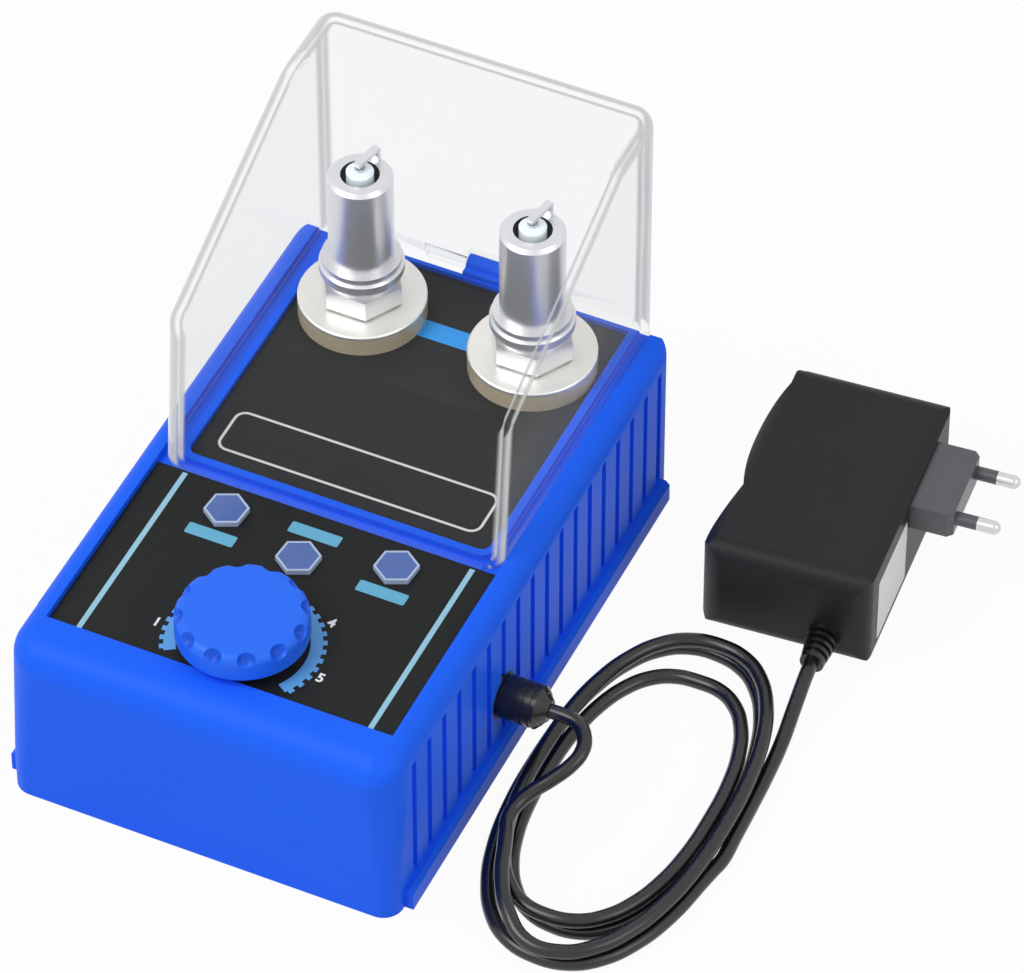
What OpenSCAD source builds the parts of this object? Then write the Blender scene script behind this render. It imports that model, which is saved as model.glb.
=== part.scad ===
// Desk-top spark plug tester: a plastic housing with a control panel, two plug sockets under a
// hinged clear cover, two spark plugs, and a mains adapter on a coiled low-voltage cord.
// Origin: bottom centre of the tester. +X is the jack side, +Y the hinge side, +Z up.

/* [Housing] */
// Width of the housing over its side walls
body_w = 88; // [80:0.5:100]
// Length of the housing, front to rear
body_l = 138; // [130:0.5:150]
// Height of the housing's top rim
body_h = 43.4; // [40:0.1:50]
// Wall thickness of the housing
wall = 2.5; // [2:0.1:3]
// Rounding of the upright corners
corner_r = 4.5; // [3:0.1:6]
// Rounding of the top edges along the sides
side_r = 5; // [4:0.1:5.4]
// Rounding of the top edge at the front
front_r = 7; // [5:0.1:8]
// Rounding of the top edge at the rear
rear_r = 2; // [1:0.1:2.5]
// How far the lip along the foot of each side stands out
lip_out = 2; // [1:0.1:3]
// Height of that lip
lip_h = 5.5; // [4:0.1:8]
// Thickness of the base cover
base_t = 2.5; // [2:0.1:4]

/* [Side grooves] */
// Number of upright grooves in each side
groove_count = 18; // [10:1:18]
// Spacing of the grooves
groove_pitch = 7.1; // [6:0.05:7.3]
// Width of a groove
groove_w = 2; // [1:0.1:3]
// Depth of a groove
groove_depth = 0.9; // [0.4:0.1:1.2]
// Height at which the grooves start
groove_foot = 6.2; // [6:0.1:12]
// Distance from the front face to the first groove
groove_first = 10.3; // [9:0.1:11]

/* [Top recess and labels] */
// Width of the sunken top
recess_w = 78; // [77.6:0.1:80]
// Distance from the front face to the recess
recess_front = 11; // [9:0.1:14]
// Depth of the recess below the rim
recess_depth = 1.8; // [1:0.1:2]
// Thickness of the top wall under the recess
top_t = 3; // [2:0.1:4]
// Thickness of both printed labels
label_t = 0.4; // [0.2:0.05:0.6]
// Gap between a label and what surrounds it
label_gap = 0.2; // [0.1:0.05:0.4]
// Height of the rim round the deck label
deck_rim_h = 1.4; // [0.8:0.1:1.6]
// Width of that rim
deck_rim_w = 1.8; // [1.2:0.1:2.4]
// Plan radius of the deck's front corners
deck_corner_r = 4; // [2:0.1:6]

/* [Clear cover] */
// Distance from the front face to the cover
cover_front = 61.2; // [58:0.1:64]
// How far the cover reaches behind the housing
cover_overhang = 4; // [3.8:0.05:4.4]
// Gap between the cover and the walls of its groove
cover_gap = 0.4; // [0.3:0.05:0.6]
// Gap under the cover's lower edge
cover_lift = 0.2; // [0.1:0.05:0.5]
// Wall thickness of the cover
cover_wall = 2; // [1.5:0.1:2.4]
// Rounding of the cover's outer edges
cover_r = 5; // [4:0.1:7]
// Height of the fold above the front wall
fold_z = 80.6; // [74:0.1:86]
// How far the front wall leans back at the fold
front_lean = 3.5; // [0:0.1:6]
// Height of the cover's flat top
cover_top = 105.6; // [102:0.1:115]
// Length of the cover's flat top
flat_l = 21; // [16:0.1:30]

/* [Hinge] */
// Height of the hinge axis above the recess floor
hinge_up = 2.6; // [2.4:0.05:3]
// Distance of the hinge axis behind the housing
hinge_back = 2.2; // [2.1:0.05:2.4]
// Outer radius of the hinge knuckles
knuckle_r = 1.8; // [1.6:0.05:1.8]
// Radius of the hinge pin
pin_r = 0.8; // [0.6:0.05:1]
// Running clearance round the hinge pin
pin_gap = 0.05; // [0.02:0.01:0.1]
// Width of the housing's knuckle
block_w = 9.2; // [7:0.1:12]
// Width of each knuckle of the cover
ear_w = 9; // [6:0.1:14]
// Side gap between knuckles
ear_gap = 0.4; // [0.3:0.05:0.8]

/* [Knob and panel] */
// Distance from the front face to the knob's axis
knob_y = 22.4; // [22:0.1:26]
// Radius of the knob
knob_r = 13.9; // [13.2:0.1:14.5]
// Height of the knob's grip
knob_h = 6.4; // [5.8:0.1:10]
// Gap between the knob's skirt and the panel label
knob_gap = 0.9; // [0.5:0.1:1.5]
// Height of the knob's skirt
skirt_h = 2.5; // [1.5:0.1:3]
// Number of finger scallops round the knob's top edge
scallop_count = 12; // [10:1:16]
// Depth of a scallop at the top of the knob
scallop_depth = 1.3; // [0.8:0.1:1.6]
// Radius of the potentiometer's shaft
shaft_r = 3; // [2.5:0.1:3.2]
// Radius of the potentiometer's bushing
bushing_r = 4.4; // [4.2:0.1:4.8]
// Distance from the front face to the two side indicators
side_led_y = 53.9; // [51:0.1:54.5]
// Sideways distance of the side indicators
side_led_x = 19.4; // [16:0.1:22]
// Distance from the front face to the middle indicator
mid_led_y = 47.9; // [47.2:0.1:49]
// Corner radius of the six-sided indicator bezels
bezel_r = 4.8; // [4.7:0.1:5.6]
// Height of the bezels above the label
bezel_h = 1.2; // [0.8:0.1:2]
// Radius of the round stems of the indicator lenses
lens_r = 3.2; // [3:0.1:3.3]

/* [Plug sockets] */
// Distance from the rear face to the socket axes
socket_back = 18.6; // [17.6:0.1:21]
// Sideways distance of each socket axis
socket_x = 19.8; // [17:0.1:21]
// Radius of the insulator disc and the ground disc
disc_r = 13.8; // [13:0.1:14.2]
// Thickness of the insulator disc
insulator_t = 4; // [3:0.1:6]
// Thickness of the ground disc
ground_t = 1.1; // [0.8:0.1:2]
// Outer radius of the socket's tube
tube_r = 9.5; // [9:0.1:10]
// Bore radius of the socket's tube
tube_bore = 6.6; // [6.3:0.1:7]
// Height of the underside of the socket's tube
tube_foot = 11; // [10:0.1:12]

/* [Spark plugs] */
// Thread diameter of a plug
thread_d = 14; // [12:1:14]
// Length of the threaded end above the seat collar
reach = 24.3; // [20:0.1:26]
// Width across the flats of the hexagon
hex_af = 16; // [16:0.5:18]
// Height of the hexagon
hex_h = 5.4; // [4:0.1:7]
// Diameter of the round seat collar
collar_d = 18.2; // [17:0.1:19]
// Diameter of the ceramic in the socket
ceramic_d = 11; // [10:0.1:12]
// Diameter of the terminal nut
terminal_d = 6.4; // [6:0.1:6.6]
// Direction of the ground strap round the plug's axis
strap_angle = 78; // [0:1:359]

/* [Power inlet] */
// Distance from the front face to the jack
jack_y = 52.9; // [48:0.1:55]
// Height of the jack's axis
jack_z = 16.3; // [15:0.1:17]
// Radius of the plug's grip
grip_r = 4.75; // [4:0.05:5]
// Length of the plug's grip
grip_l = 9; // [8:0.1:14]
// Length of the taper behind the grip
taper_l = 1.2; // [1:0.1:3]
// Diameter of the cord
cord_d = 3.2; // [2.8:0.1:3.2]

/* [Adapter] */
// Width of the adapter
adapter_w = 34.4; // [30:0.1:45]
// Length of the adapter
adapter_l = 58.5; // [50:0.5:75]
// Height of the adapter as it lies
adapter_h = 24.7; // [22:0.1:30]
// Wall thickness of the adapter's shells
adapter_wall = 2; // [1.5:0.1:3]
// Centre of the adapter, sideways
adapter_x = 83.9; // [80:0.1:95]
// Centre of the adapter, front to rear
adapter_y = 61.7; // [60:0.1:80]
// Turn of the adapter on the table
adapter_turn = 5; // [-10:0.5:10]
// Spacing of the mains pins
mains_pitch = 14.2; // [12:0.1:19]
// Diameter of the mains pins
mains_d = 3; // [2.4:0.1:4]
// Length of the mains pins
mains_l = 9.7; // [8:0.1:19]

/* [Hidden] */
$fn = 48;
tiny = 0.01;

// The whole tester's box runs from the front face to the cover's rear wall
front_y = -(body_l + cover_overhang) / 2;
rear_y = front_y + body_l;
body_mid_y = front_y + body_l / 2;
floor_z = body_h - recess_depth;
ceiling_z = floor_z - top_t;
label_top = floor_z + label_t;
inner_w = body_w - 2 * wall;

// Case screws and their bosses
boss_r = 4;
screw_r = 1.3;
screw_head_r = 2.8;
screw_head_h = 1.2;
screw_inset = wall + boss_r;
screw_places = [
  for (sx = [-1, 1], y = [front_y + screw_inset, rear_y - screw_inset])
    [sx * (body_w / 2 - screw_inset), y]
];

// Cover, groove and deck
cover_w = recess_w - 2 * cover_gap;
cover_front_y = front_y + cover_front;
cover_rear_y = rear_y + cover_overhang;
cover_foot = floor_z + cover_lift;
deck_w = cover_w - 2 * cover_wall - 2 * cover_gap;
deck_front_y = cover_front_y + cover_wall + cover_gap;
hinge_y = rear_y + hinge_back;
hinge_z = floor_z + hinge_up;
rear_wall_foot = hinge_z - knuckle_r + 0.2;
ear_in = block_w / 2 + ear_gap;

// Control panel
knob_axis_y = front_y + knob_y;
skirt_z = label_top + knob_gap;
grip_z = skirt_z + skirt_h;
knob_top = grip_z + knob_h;
skirt_r = 10.5;
nut_room_r = 8.4;
nut_room_top = grip_z + 1;
scallop_r = 2.5;
knob_edge_r = 2.2;
bushing_top = label_top + 2.8;
washer_t = 0.5;
nut_h = 1.8;
nut_af = 12;
shaft_gap = 0.05;
pot_r = 8;
board_t = 1.6;
board_top = 26.6;
pot_top = ceiling_z - 1.2;
led_places = [
  [-side_led_x, front_y + side_led_y],
  [0, front_y + mid_led_y],
  [side_led_x, front_y + side_led_y]
];
bezel_sleeve_r = lens_r + 0.6;
led_hole_r = bezel_sleeve_r + 0.1;
bezel_turn = 25;
lens_t = 3;
lens_ledge = 0.5;
lens_hex_r = bezel_r - 0.55;
led_r = 2.5;
led_flange_r = 2.9;
led_top_l = 4;

// Board under the panel
board_start = 14;
board_end = 59;
board_side_gap = 8.5;
board_front = front_y + board_start;
board_rear = front_y + board_end;
board_w = inner_w - 2 * board_side_gap;
post_r = 2.6;
post_inset = 4;
post_rear_inset = 12;
post_screw_r = 1;
post_screw_l = 7;
post_head_r = 2;
post_head_h = 1.4;
post_places = [
  for (sx = [-1, 1], y = [board_front + post_inset, board_rear - post_rear_inset])
    [sx * (board_w / 2 - post_inset), y]
];

// Sockets and plugs
socket_axis_y = rear_y - socket_back;
disc_foot = label_top;
ground_foot = disc_foot + insulator_t;
seat_z = ground_foot + ground_t;
socket_floor = tube_foot + 2;
stud_r = 1.9;
cup_r = 5;
cup_h = 7;
cup_bore = terminal_d / 2 + 0.2;
socket_hole_gap = 0.1;
ring_nut_h = 3;
ring_nut_r = tube_r + 3;
neck_h = 2.1;
hex_lift = 0.5;
collar_h = 2.6;
gasket_h = 1.4;
collar_foot = seat_z + hex_h + neck_h;
collar_top = collar_foot + collar_h;
shell_top = collar_top + reach;
thread_r = thread_d / 2;
shell_bore = 5;
nose_bore = 4.15;
nose_l = 11;
electrode_root = 16;
nose_step = shell_top - nose_l;
terminal_l = 6.6;
terminal_stud_r = 1.6;
stud_l = 14;
terminal_foot = socket_floor + 1.4;
ceramic_foot = terminal_foot + terminal_l;
ceramic_gap = 0.03;
electrode_r = 1.2;
nose_r = 2.95;
nose_top = shell_top + 1.3;
electrode_top = nose_top + 0.7;
strap_t = 0.8;
strap_w = 1.7;
strap_gap = 0.7;
strap_r = (nose_bore + thread_r) / 2;

// Ignition coil between the board and the sockets
coil_w = 48;
coil_front_gap = 10;
coil_rear_gap = 18;
coil_front = board_rear + coil_front_gap;
coil_rear = socket_axis_y - coil_rear_gap;
coil_top = 31;
coil_lug_w = 8;
coil_lug_t = 3;
coil_lug_h = 6;
lead_r = 1.4;
lug_t = 1;
contact_nut_h = 2.4;

// Jack and low-voltage plug
jack_axis_y = front_y + jack_y;
jack_nose_r = 5.2;
jack_l = 14;
jack_w = 9.6;
jack_h = 11;
supply_pitch = 4;
supply_r = 0.8;
barrel_r = 2.75;
barrel_bore = 1.25;
barrel_l = 9.5;
centre_pin_r = 1;
grip_x = body_w / 2 + 0.4;
grip_end = grip_x + grip_l;
taper_end = grip_end + taper_l;

// Coil of cord: it comes in over the turn below it, spirals in on the upper layer, drops a layer in half a
// turn and spirals out below
coil_x = 74;
coil_y = -20.5;
coil_long = 50.26;
coil_short = 23.59;
coil_power = 2.3;
coil_in_long = 9.5;
coil_in_short = 3.4;
coil_lean = 0.7;
coil_shift = 0.9;
coil_layer = 3.8;
coil_from = 222;
coil_mid = 812;
coil_to = 1425;
coil_entry = 48;
coil_rise = 3.7;
coil_over = 1.05;
coil_steps = 80;
coil_low = cord_d / 2 + 0.05;

// Free stretches of the cord, chosen by hand: from the plug to the coil, and from the coil to the adapter
lead_points = [
  [61.3, -18.95, 16.25], [63.8, -21.45, 15.9], [64.75, -24.9, 15.2], [63.8, -28.4, 14.1],
  [61.4, -32, 12.6], [58.5, -35.5, 11], [56.6, -39.3, 9.8]
];
tail_points = [
  [97.9, -22, 1.7], [97.6, -13, 1.7], [97.2, -4, 1.8], [96.7, 5, 2.8], [95.85, 13.8, 5]
];

// Adapter
relief_z = 7;
relief_local_x = 7.7;
relief_l = 8.5;
relief_r = 3.6;
relief_end_r = 2.6;
relief_ribs = 4;
split_x = adapter_w / 2 - 9;
edge_r = 4;
adapter_corner = 3.5;
edge_ease = 1.5;
bulge = 2.3;
swell_l = 32;
swell_y = 6.5;
flare = 3.2;
flare_corner = 5;
back_slant = 2;
flare_y = -9.5;
block_l = 20;
block_corner = 1.2;
block_out = 9.5;
block_h = 6.6;
block_local_y = 8.1;
block_z = adapter_h - 5.2;
mains_sleeve = 4.7;
transformer_w = 14;
transformer_l = 16;
transformer_h = 12;

// Flat shapes

module rounded_rect(w, l, r) {
  square([w - 2 * r, l], center = true);
  square([w, l - 2 * r], center = true);
  for (sx = [-1, 1], sy = [-1, 1])
    translate([sx * (w / 2 - r), sy * (l / 2 - r)]) circle(r);
}

module side_profile() {
  square([body_l, body_h - front_r]);
  translate([front_r, 0]) square([body_l - front_r - rear_r, body_h]);
  translate([front_r, 0]) square([body_l - front_r, body_h - rear_r]);
  translate([front_r, body_h - front_r]) circle(front_r);
  translate([body_l - rear_r, body_h - rear_r]) circle(rear_r);
}

module front_profile() {
  translate([-body_w / 2, 0]) square([body_w, body_h - side_r]);
  translate([-body_w / 2 + side_r, 0]) square([body_w - 2 * side_r, body_h]);
  for (sx = [-1, 1]) translate([sx * (body_w / 2 - side_r), body_h - side_r]) circle(side_r);
}

module deck_outline(inset) {
  w = deck_w - 2 * inset;
  y0 = deck_front_y + inset;
  r = deck_corner_r - inset;
  translate([-w / 2, y0 + r]) square([w, rear_y - inset - y0 - r]);
  translate([-w / 2 + r, y0]) square([w - 2 * r, r + tiny]);
  for (sx = [-1, 1]) translate([sx * (w / 2 - r), y0 + r]) circle(r);
}

// Housing

module housing_block() {
  intersection() {
    translate([0, body_mid_y, 0]) linear_extrude(body_h) rounded_rect(body_w, body_l, corner_r);
    translate([-body_w / 2 - 1, front_y, 0]) rotate([90, 0, 90]) linear_extrude(body_w + 2) side_profile();
    translate([0, rear_y + 1, 0]) rotate([90, 0, 0]) linear_extrude(body_l + 2) front_profile();
  }
}

module side_lip() {
  run = body_l - 2 * corner_r - 1;
  chamfer = lip_out / 2;
  translate([body_w / 2 - wall / 2, body_mid_y + run / 2, 0]) rotate([90, 0, 0]) linear_extrude(run)
    polygon([
      [0, 0], [wall / 2 + lip_out, 0], [wall / 2 + lip_out, lip_h - chamfer],
      [wall / 2 + lip_out - chamfer, lip_h], [0, lip_h]
    ]);
}

module side_grooves() {
  run = body_h - side_r - groove_foot;
  first_y = front_y + groove_first - groove_w / 2;
  for (i = [0 : groove_count - 1])
    translate([body_w / 2 - groove_depth, first_y + i * groove_pitch, groove_foot])
      cube([groove_depth + 1, groove_w, run]);
}

module knuckle(x0, x1, r) {
  translate([x0, hinge_y, hinge_z]) rotate([0, 90, 0]) cylinder(h = x1 - x0, r = r);
}

module upper_housing() {
  color("royalblue") difference() {
    union() {
      difference() {
        housing_block();
        translate([-recess_w / 2, front_y + recess_front, floor_z]) cube([recess_w, body_l, body_h]);
        translate([-inner_w / 2, front_y + wall, -1]) cube([inner_w, body_l - 2 * wall, ceiling_z + 1]);
        side_grooves();
        mirror([1, 0, 0]) side_grooves();
      }
      side_lip();
      mirror([1, 0, 0]) side_lip();
      intersection() {
        housing_block();
        translate([0, 0, floor_z - tiny]) linear_extrude(deck_rim_h + tiny) difference() {
          deck_outline(0);
          deck_outline(deck_rim_w);
        }
      }
      knuckle(-block_w / 2, block_w / 2, knuckle_r);
      translate([-block_w / 2, rear_y - wall / 2, hinge_z - knuckle_r - 1.2])
        cube([block_w, hinge_back + wall / 2, knuckle_r + 1.2]);
      for (p = screw_places)
        translate([p.x, p.y, base_t]) cylinder(h = ceiling_z - base_t + tiny, r = boss_r);
      for (p = post_places)
        translate([p.x, p.y, board_top]) cylinder(h = ceiling_z - board_top + tiny, r = post_r);
    }
    knuckle(-block_w, block_w, pin_r);
    for (p = screw_places) translate([p.x, p.y, 0]) cylinder(h = 14, r = screw_r);
    for (p = post_places)
      translate([p.x, p.y, board_top - tiny]) cylinder(h = post_screw_l + tiny, r = post_screw_r);
    translate([0, knob_axis_y, ceiling_z - 1]) cylinder(h = top_t + 2, r = bushing_r + 0.1);
    for (p = led_places) translate([p.x, p.y, ceiling_z - 1]) cylinder(h = top_t + 2, r = led_hole_r);
    for (sx = [-1, 1])
      translate([sx * socket_x, socket_axis_y, ceiling_z - 1])
        cylinder(h = top_t + 2, r = tube_r + socket_hole_gap);
    translate([inner_w / 2 - 1, jack_axis_y, jack_z]) rotate([0, 90, 0])
      cylinder(h = wall + 2, r = jack_nose_r + 0.1);
  }
}

module base_cover() {
  fit = 0.15;
  color("royalblue") difference() {
    translate([-inner_w / 2 + fit, front_y + wall + fit, 0])
      cube([inner_w - 2 * fit, body_l - 2 * wall - 2 * fit, base_t]);
    for (p = screw_places) translate([p.x, p.y, -1]) {
      cylinder(h = base_t + 2, r = screw_r + 0.3);
      cylinder(h = 1 + screw_head_h + 0.2, r = screw_head_r + 0.3);
    }
  }
}

module case_screws() {
  color("silver") for (p = screw_places) translate([p.x, p.y, 0.2]) difference() {
    union() {
      cylinder(h = screw_head_h, r = screw_head_r);
      cylinder(h = 13, r = screw_r);
    }
    for (a = [0, 90]) rotate(a) translate([-1.6, -0.35, -1]) cube([3.2, 0.7, 1.7]);
  }
}

module control_label() {
  label_w = recess_w - 2 * label_gap;
  label_front = front_y + recess_front + label_gap;
  color([0.17, 0.17, 0.16]) translate([0, 0, floor_z]) linear_extrude(label_t) difference() {
    translate([-label_w / 2, label_front]) square([label_w, cover_front_y - label_gap - label_front]);
    translate([0, knob_axis_y]) circle(bushing_r + 0.2);
    for (p = led_places) translate(p) circle(bezel_sleeve_r + 0.1);
  }
}

module deck_label() {
  color([0.24, 0.24, 0.24]) translate([0, 0, floor_z]) linear_extrude(label_t) difference() {
    deck_outline(deck_rim_w + label_gap);
    for (sx = [-1, 1]) translate([sx * socket_x, socket_axis_y]) circle(tube_r + socket_hole_gap);
  }
}

// Cover and hinge

// The cover's side outline: foot of the front wall, fold, rear edge of the slope, rear top, foot behind
cover_profile = [
  [cover_front_y, cover_foot],
  [cover_front_y + front_lean, fold_z],
  [cover_rear_y - flat_l, cover_top],
  [cover_rear_y, cover_top],
  [cover_rear_y, cover_foot]
];

// Point that lies a distance inside both edges that meet at b
function inward(p, q) = let (d = (q - p) / norm(q - p)) [d.y, -d.x];
function inset_corner(a, b, c, dist) =
  let (m = inward(a, b), n = inward(b, c), det = m.x * n.y - m.y * n.x)
  b + dist * [(n.y - m.y) / det, (m.x - n.x) / det];

// Rounded solid of the cover's outline with the given edge radius, all radii about the same centres
module cover_solid(r) {
  p = cover_profile;
  front_run = (p[1] - p[0]) / norm(p[1] - p[0]);
  upper = [for (i = [1 : 3]) inset_corner(p[i - 1], p[i], p[i + 1], cover_r)];
  foot_front = upper[0] - front_run * (upper[0].y - cover_foot + 2 * cover_r) / front_run.y;
  foot_rear = [cover_rear_y - cover_r, cover_foot - 2 * cover_r];
  hull() for (sx = [-1, 1], q = concat(upper, [foot_front, foot_rear]))
    translate([sx * (cover_w / 2 - cover_r), q.x, q.y]) sphere(r, $fn = 32);
}

module clear_cover() {
  below = 4 * cover_r;
  notch_w = 2 * ear_in;
  notch_top = hinge_z + knuckle_r + 0.6;
  color([0.9, 0.93, 0.96, 0.35]) difference() {
    union() {
      difference() {
        cover_solid(cover_r);
        cover_solid(cover_r - cover_wall);
        translate([-cover_w, cover_front_y - 5, cover_foot - below])
          cube([2 * cover_w, body_l, below]);
        translate([-cover_w / 2 + cover_r, rear_y, cover_foot - 1])
          cube([cover_w - 2 * cover_r, cover_overhang + 1, rear_wall_foot - cover_foot + 1]);
        translate([-notch_w / 2, hinge_y - knuckle_r - 1, cover_foot - 1])
          cube([notch_w, 3 * knuckle_r + 2, notch_top - cover_foot + 1]);
      }
      knuckle(ear_in, ear_in + ear_w, knuckle_r);
      knuckle(-ear_in - ear_w, -ear_in, knuckle_r);
    }
    knuckle(-ear_in - ear_w - 1, ear_in + ear_w + 1, pin_r + pin_gap);
  }
}

module hinge_pin() {
  color("silver") knuckle(-ear_in - ear_w, ear_in + ear_w, pin_r);
}

// Knob, potentiometer and indicators

module control_knob() {
  r = knob_r;
  e = knob_edge_r;
  lean = atan((scallop_depth + 0.3) / (knob_h - 0.8));
  color("dodgerblue") translate([0, knob_axis_y, 0]) difference() {
    rotate_extrude() {
      translate([0, grip_z]) square([r, knob_h - e]);
      translate([0, knob_top - e - tiny]) square([r - e, e + tiny]);
      translate([r - e, knob_top - e]) circle(e);
      translate([0, skirt_z]) square([skirt_r, skirt_h + tiny]);
    }
    for (i = [0 : scallop_count - 1]) rotate(i * 360 / scallop_count)
      translate([r - scallop_depth + scallop_r, 0, knob_top]) rotate([0, -lean, 0])
        translate([0, 0, -knob_h - 2]) cylinder(h = knob_h + 6, r = scallop_r);
    translate([0, 0, skirt_z - 1]) cylinder(h = nut_room_top - skirt_z + 1, r = nut_room_r);
    translate([0, 0, skirt_z - 1]) cylinder(h = knob_top - 1.6 - skirt_z + 1, r = shaft_r);
  }
}

module pot_shaft() {
  color("silver") translate([0, knob_axis_y, board_top + 2])
    cylinder(h = knob_top - 1.8 - board_top - 2, r = shaft_r);
}

module pot_body() {
  color("darkslategray") translate([0, knob_axis_y, 0]) difference() {
    union() {
      translate([0, 0, board_top]) cylinder(h = pot_top - board_top, r = pot_r);
      translate([0, 0, pot_top - tiny]) cylinder(h = bushing_top - pot_top + tiny, r = bushing_r);
    }
    translate([0, 0, board_top + 1.9]) cylinder(h = bushing_top, r = shaft_r + shaft_gap);
  }
}

module pot_nut() {
  color("silver") translate([0, knob_axis_y, label_top]) difference() {
    union() {
      cylinder(h = washer_t, r = nut_af / 2 + 1);
      translate([0, 0, washer_t - tiny]) cylinder(h = nut_h + tiny, d = nut_af / cos(30), $fn = 6);
    }
    translate([0, 0, -1]) cylinder(h = nut_h + 3, r = bushing_r);
  }
}

module indicator_bezels() {
  sleeve_l = label_top - ceiling_z + 1;
  color([0.75, 0.82, 0.9]) for (p = led_places) translate([p.x, p.y, label_top]) difference() {
    union() {
      rotate(bezel_turn) cylinder(h = bezel_h, r = bezel_r, $fn = 6);
      translate([0, 0, -sleeve_l]) cylinder(h = sleeve_l + tiny, r = bezel_sleeve_r);
    }
    translate([0, 0, -sleeve_l - 1]) cylinder(h = sleeve_l + bezel_h + 2, r = lens_r);
    rotate(bezel_turn) translate([0, 0, lens_ledge]) cylinder(h = bezel_h, r = lens_hex_r, $fn = 6);
  }
}

// Six-sided lens plates that fill the bezels, on round stems
module indicator_lenses() {
  color([0.4, 0.5, 0.75]) for (p = led_places) translate([p.x, p.y, label_top]) {
    translate([0, 0, bezel_h - lens_t]) cylinder(h = lens_t - bezel_h + lens_ledge + tiny, r = lens_r);
    rotate(bezel_turn) translate([0, 0, lens_ledge])
      cylinder(h = bezel_h - lens_ledge, r = lens_hex_r, $fn = 6);
  }
}

module indicator_leds() {
  flange_l = label_top + bezel_h - lens_t - board_top - led_top_l;
  color("ivory") for (p = led_places) translate([p.x, p.y, board_top]) {
    cylinder(h = flange_l, r = led_flange_r);
    translate([0, 0, flange_l - tiny]) cylinder(h = led_top_l + tiny, r = led_r);
  }
}

// Electronics

module control_board() {
  color("darkgreen") difference() {
    translate([-board_w / 2, board_front, board_top - board_t])
      cube([board_w, board_rear - board_front, board_t]);
    for (p = post_places) translate([p.x, p.y, board_top - board_t - 1]) cylinder(h = board_t + 2, r = 1.2);
  }
}

module board_screws() {
  color("silver") for (p = post_places) translate([p.x, p.y, board_top - board_t]) {
    translate([0, 0, -post_head_h]) cylinder(h = post_head_h, r = post_head_r);
    translate([0, 0, -tiny]) cylinder(h = board_t + post_screw_l - 1, r = post_screw_r);
  }
}

module board_parts() {
  under = board_top - board_t;
  capacitor_h = 12;
  capacitor_r = 5;
  chip = [8, 5, 2];
  relay = [12, 10, 8];
  row_y = board_front + 14;
  color([0.15, 0.15, 0.2]) {
    for (i = [1, 3])
      translate([-6 * i, row_y, under - capacitor_h]) cylinder(h = capacitor_h, r = capacitor_r);
    for (i = [0, 1]) translate([chip.x * (0.4 + 1.5 * i), row_y - chip.y / 2, under - chip.z]) cube(chip);
    translate([-2 * relay.x + 4, row_y + relay.y + 3, under - relay.z]) cube(relay);
  }
}

module ignition_coil() {
  mid_y = (coil_front + coil_rear) / 2;
  color([0.2, 0.2, 0.22]) {
    translate([-coil_w / 2, coil_front, base_t]) cube([coil_w, coil_rear - coil_front, coil_top - base_t]);
    for (sx = [-1, 1])
      translate([sx * (coil_w + coil_lug_h) / 2, mid_y, base_t + coil_lug_t / 2])
        cube([coil_lug_h + tiny, coil_lug_w, coil_lug_t], center = true);
  }
}

module hv_leads() {
  lug_z = tube_foot - lug_t;
  color("firebrick") for (sx = [-1, 1]) translate([sx * socket_x, socket_axis_y, lug_z]) difference() {
    union() {
      cylinder(h = lug_t, r = stud_r + 2);
      translate([-1.5, -tube_r - 2, 0]) cube([3, tube_r + 1, lug_t]);
      translate([0, -tube_r - 0.6, lug_t / 2]) rotate([90, 0, 0])
        cylinder(h = socket_axis_y - coil_rear - tube_r - 0.6, r = lead_r);
    }
    translate([0, 0, -1]) cylinder(h = lug_t + 2, r = stud_r);
  }
}

// Sockets

module socket(sx) {
  color([0.8, 0.72, 0.58]) translate([sx * socket_x, socket_axis_y, 0]) rotate_extrude() {
    difference() {
      union() {
        translate([0, disc_foot]) square([disc_r, insulator_t]);
        translate([0, tube_foot]) square([tube_r, disc_foot + tiny - tube_foot]);
      }
      translate([0, socket_floor]) square([tube_bore, ground_foot]);
      translate([0, tube_foot - 1]) square([stud_r, 10]);
    }
  }
}

module left_socket() { socket(-1); }
module right_socket() { socket(1); }

module ground_disc(sx) {
  chamfer = 0.3;
  color("gainsboro") translate([sx * socket_x, socket_axis_y, ground_foot]) rotate_extrude()
    polygon([
      [tube_bore, 0], [disc_r, 0], [disc_r, ground_t - chamfer], [disc_r - chamfer, ground_t],
      [tube_bore, ground_t]
    ]);
}

module left_ground_disc() { ground_disc(-1); }
module right_ground_disc() { ground_disc(1); }

module socket_nuts() {
  color("dimgray") for (sx = [-1, 1])
    translate([sx * socket_x, socket_axis_y, ceiling_z - ring_nut_h]) difference() {
      cylinder(h = ring_nut_h, r = ring_nut_r);
      translate([0, 0, -1]) cylinder(h = ring_nut_h + 2, r = tube_r);
      for (a = [0 : 60 : 300]) rotate(a) translate([ring_nut_r, 0, -1])
        cylinder(h = ring_nut_h + 2, r = 1.2);
    }
}

module contact_cups() {
  stud_foot = tube_foot - lug_t - contact_nut_h - 0.8;
  color("goldenrod") for (sx = [-1, 1]) translate([sx * socket_x, socket_axis_y, 0]) difference() {
    union() {
      translate([0, 0, socket_floor]) cylinder(h = cup_h, r = cup_r);
      translate([0, 0, stud_foot]) cylinder(h = socket_floor - stud_foot + tiny, r = stud_r);
    }
    translate([0, 0, terminal_foot - 0.4]) cylinder(h = cup_h, r = cup_bore);
  }
}

module contact_nuts() {
  nut_foot = tube_foot - lug_t - contact_nut_h;
  color("goldenrod") for (sx = [-1, 1]) translate([sx * socket_x, socket_axis_y, nut_foot]) difference() {
    cylinder(h = contact_nut_h, d = 7 / cos(30), $fn = 6);
    translate([0, 0, -1]) cylinder(h = contact_nut_h + 2, r = stud_r);
  }
}

// Spark plugs

module at_plug(sx) {
  translate([sx * socket_x, socket_axis_y, 0]) children();
}

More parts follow.
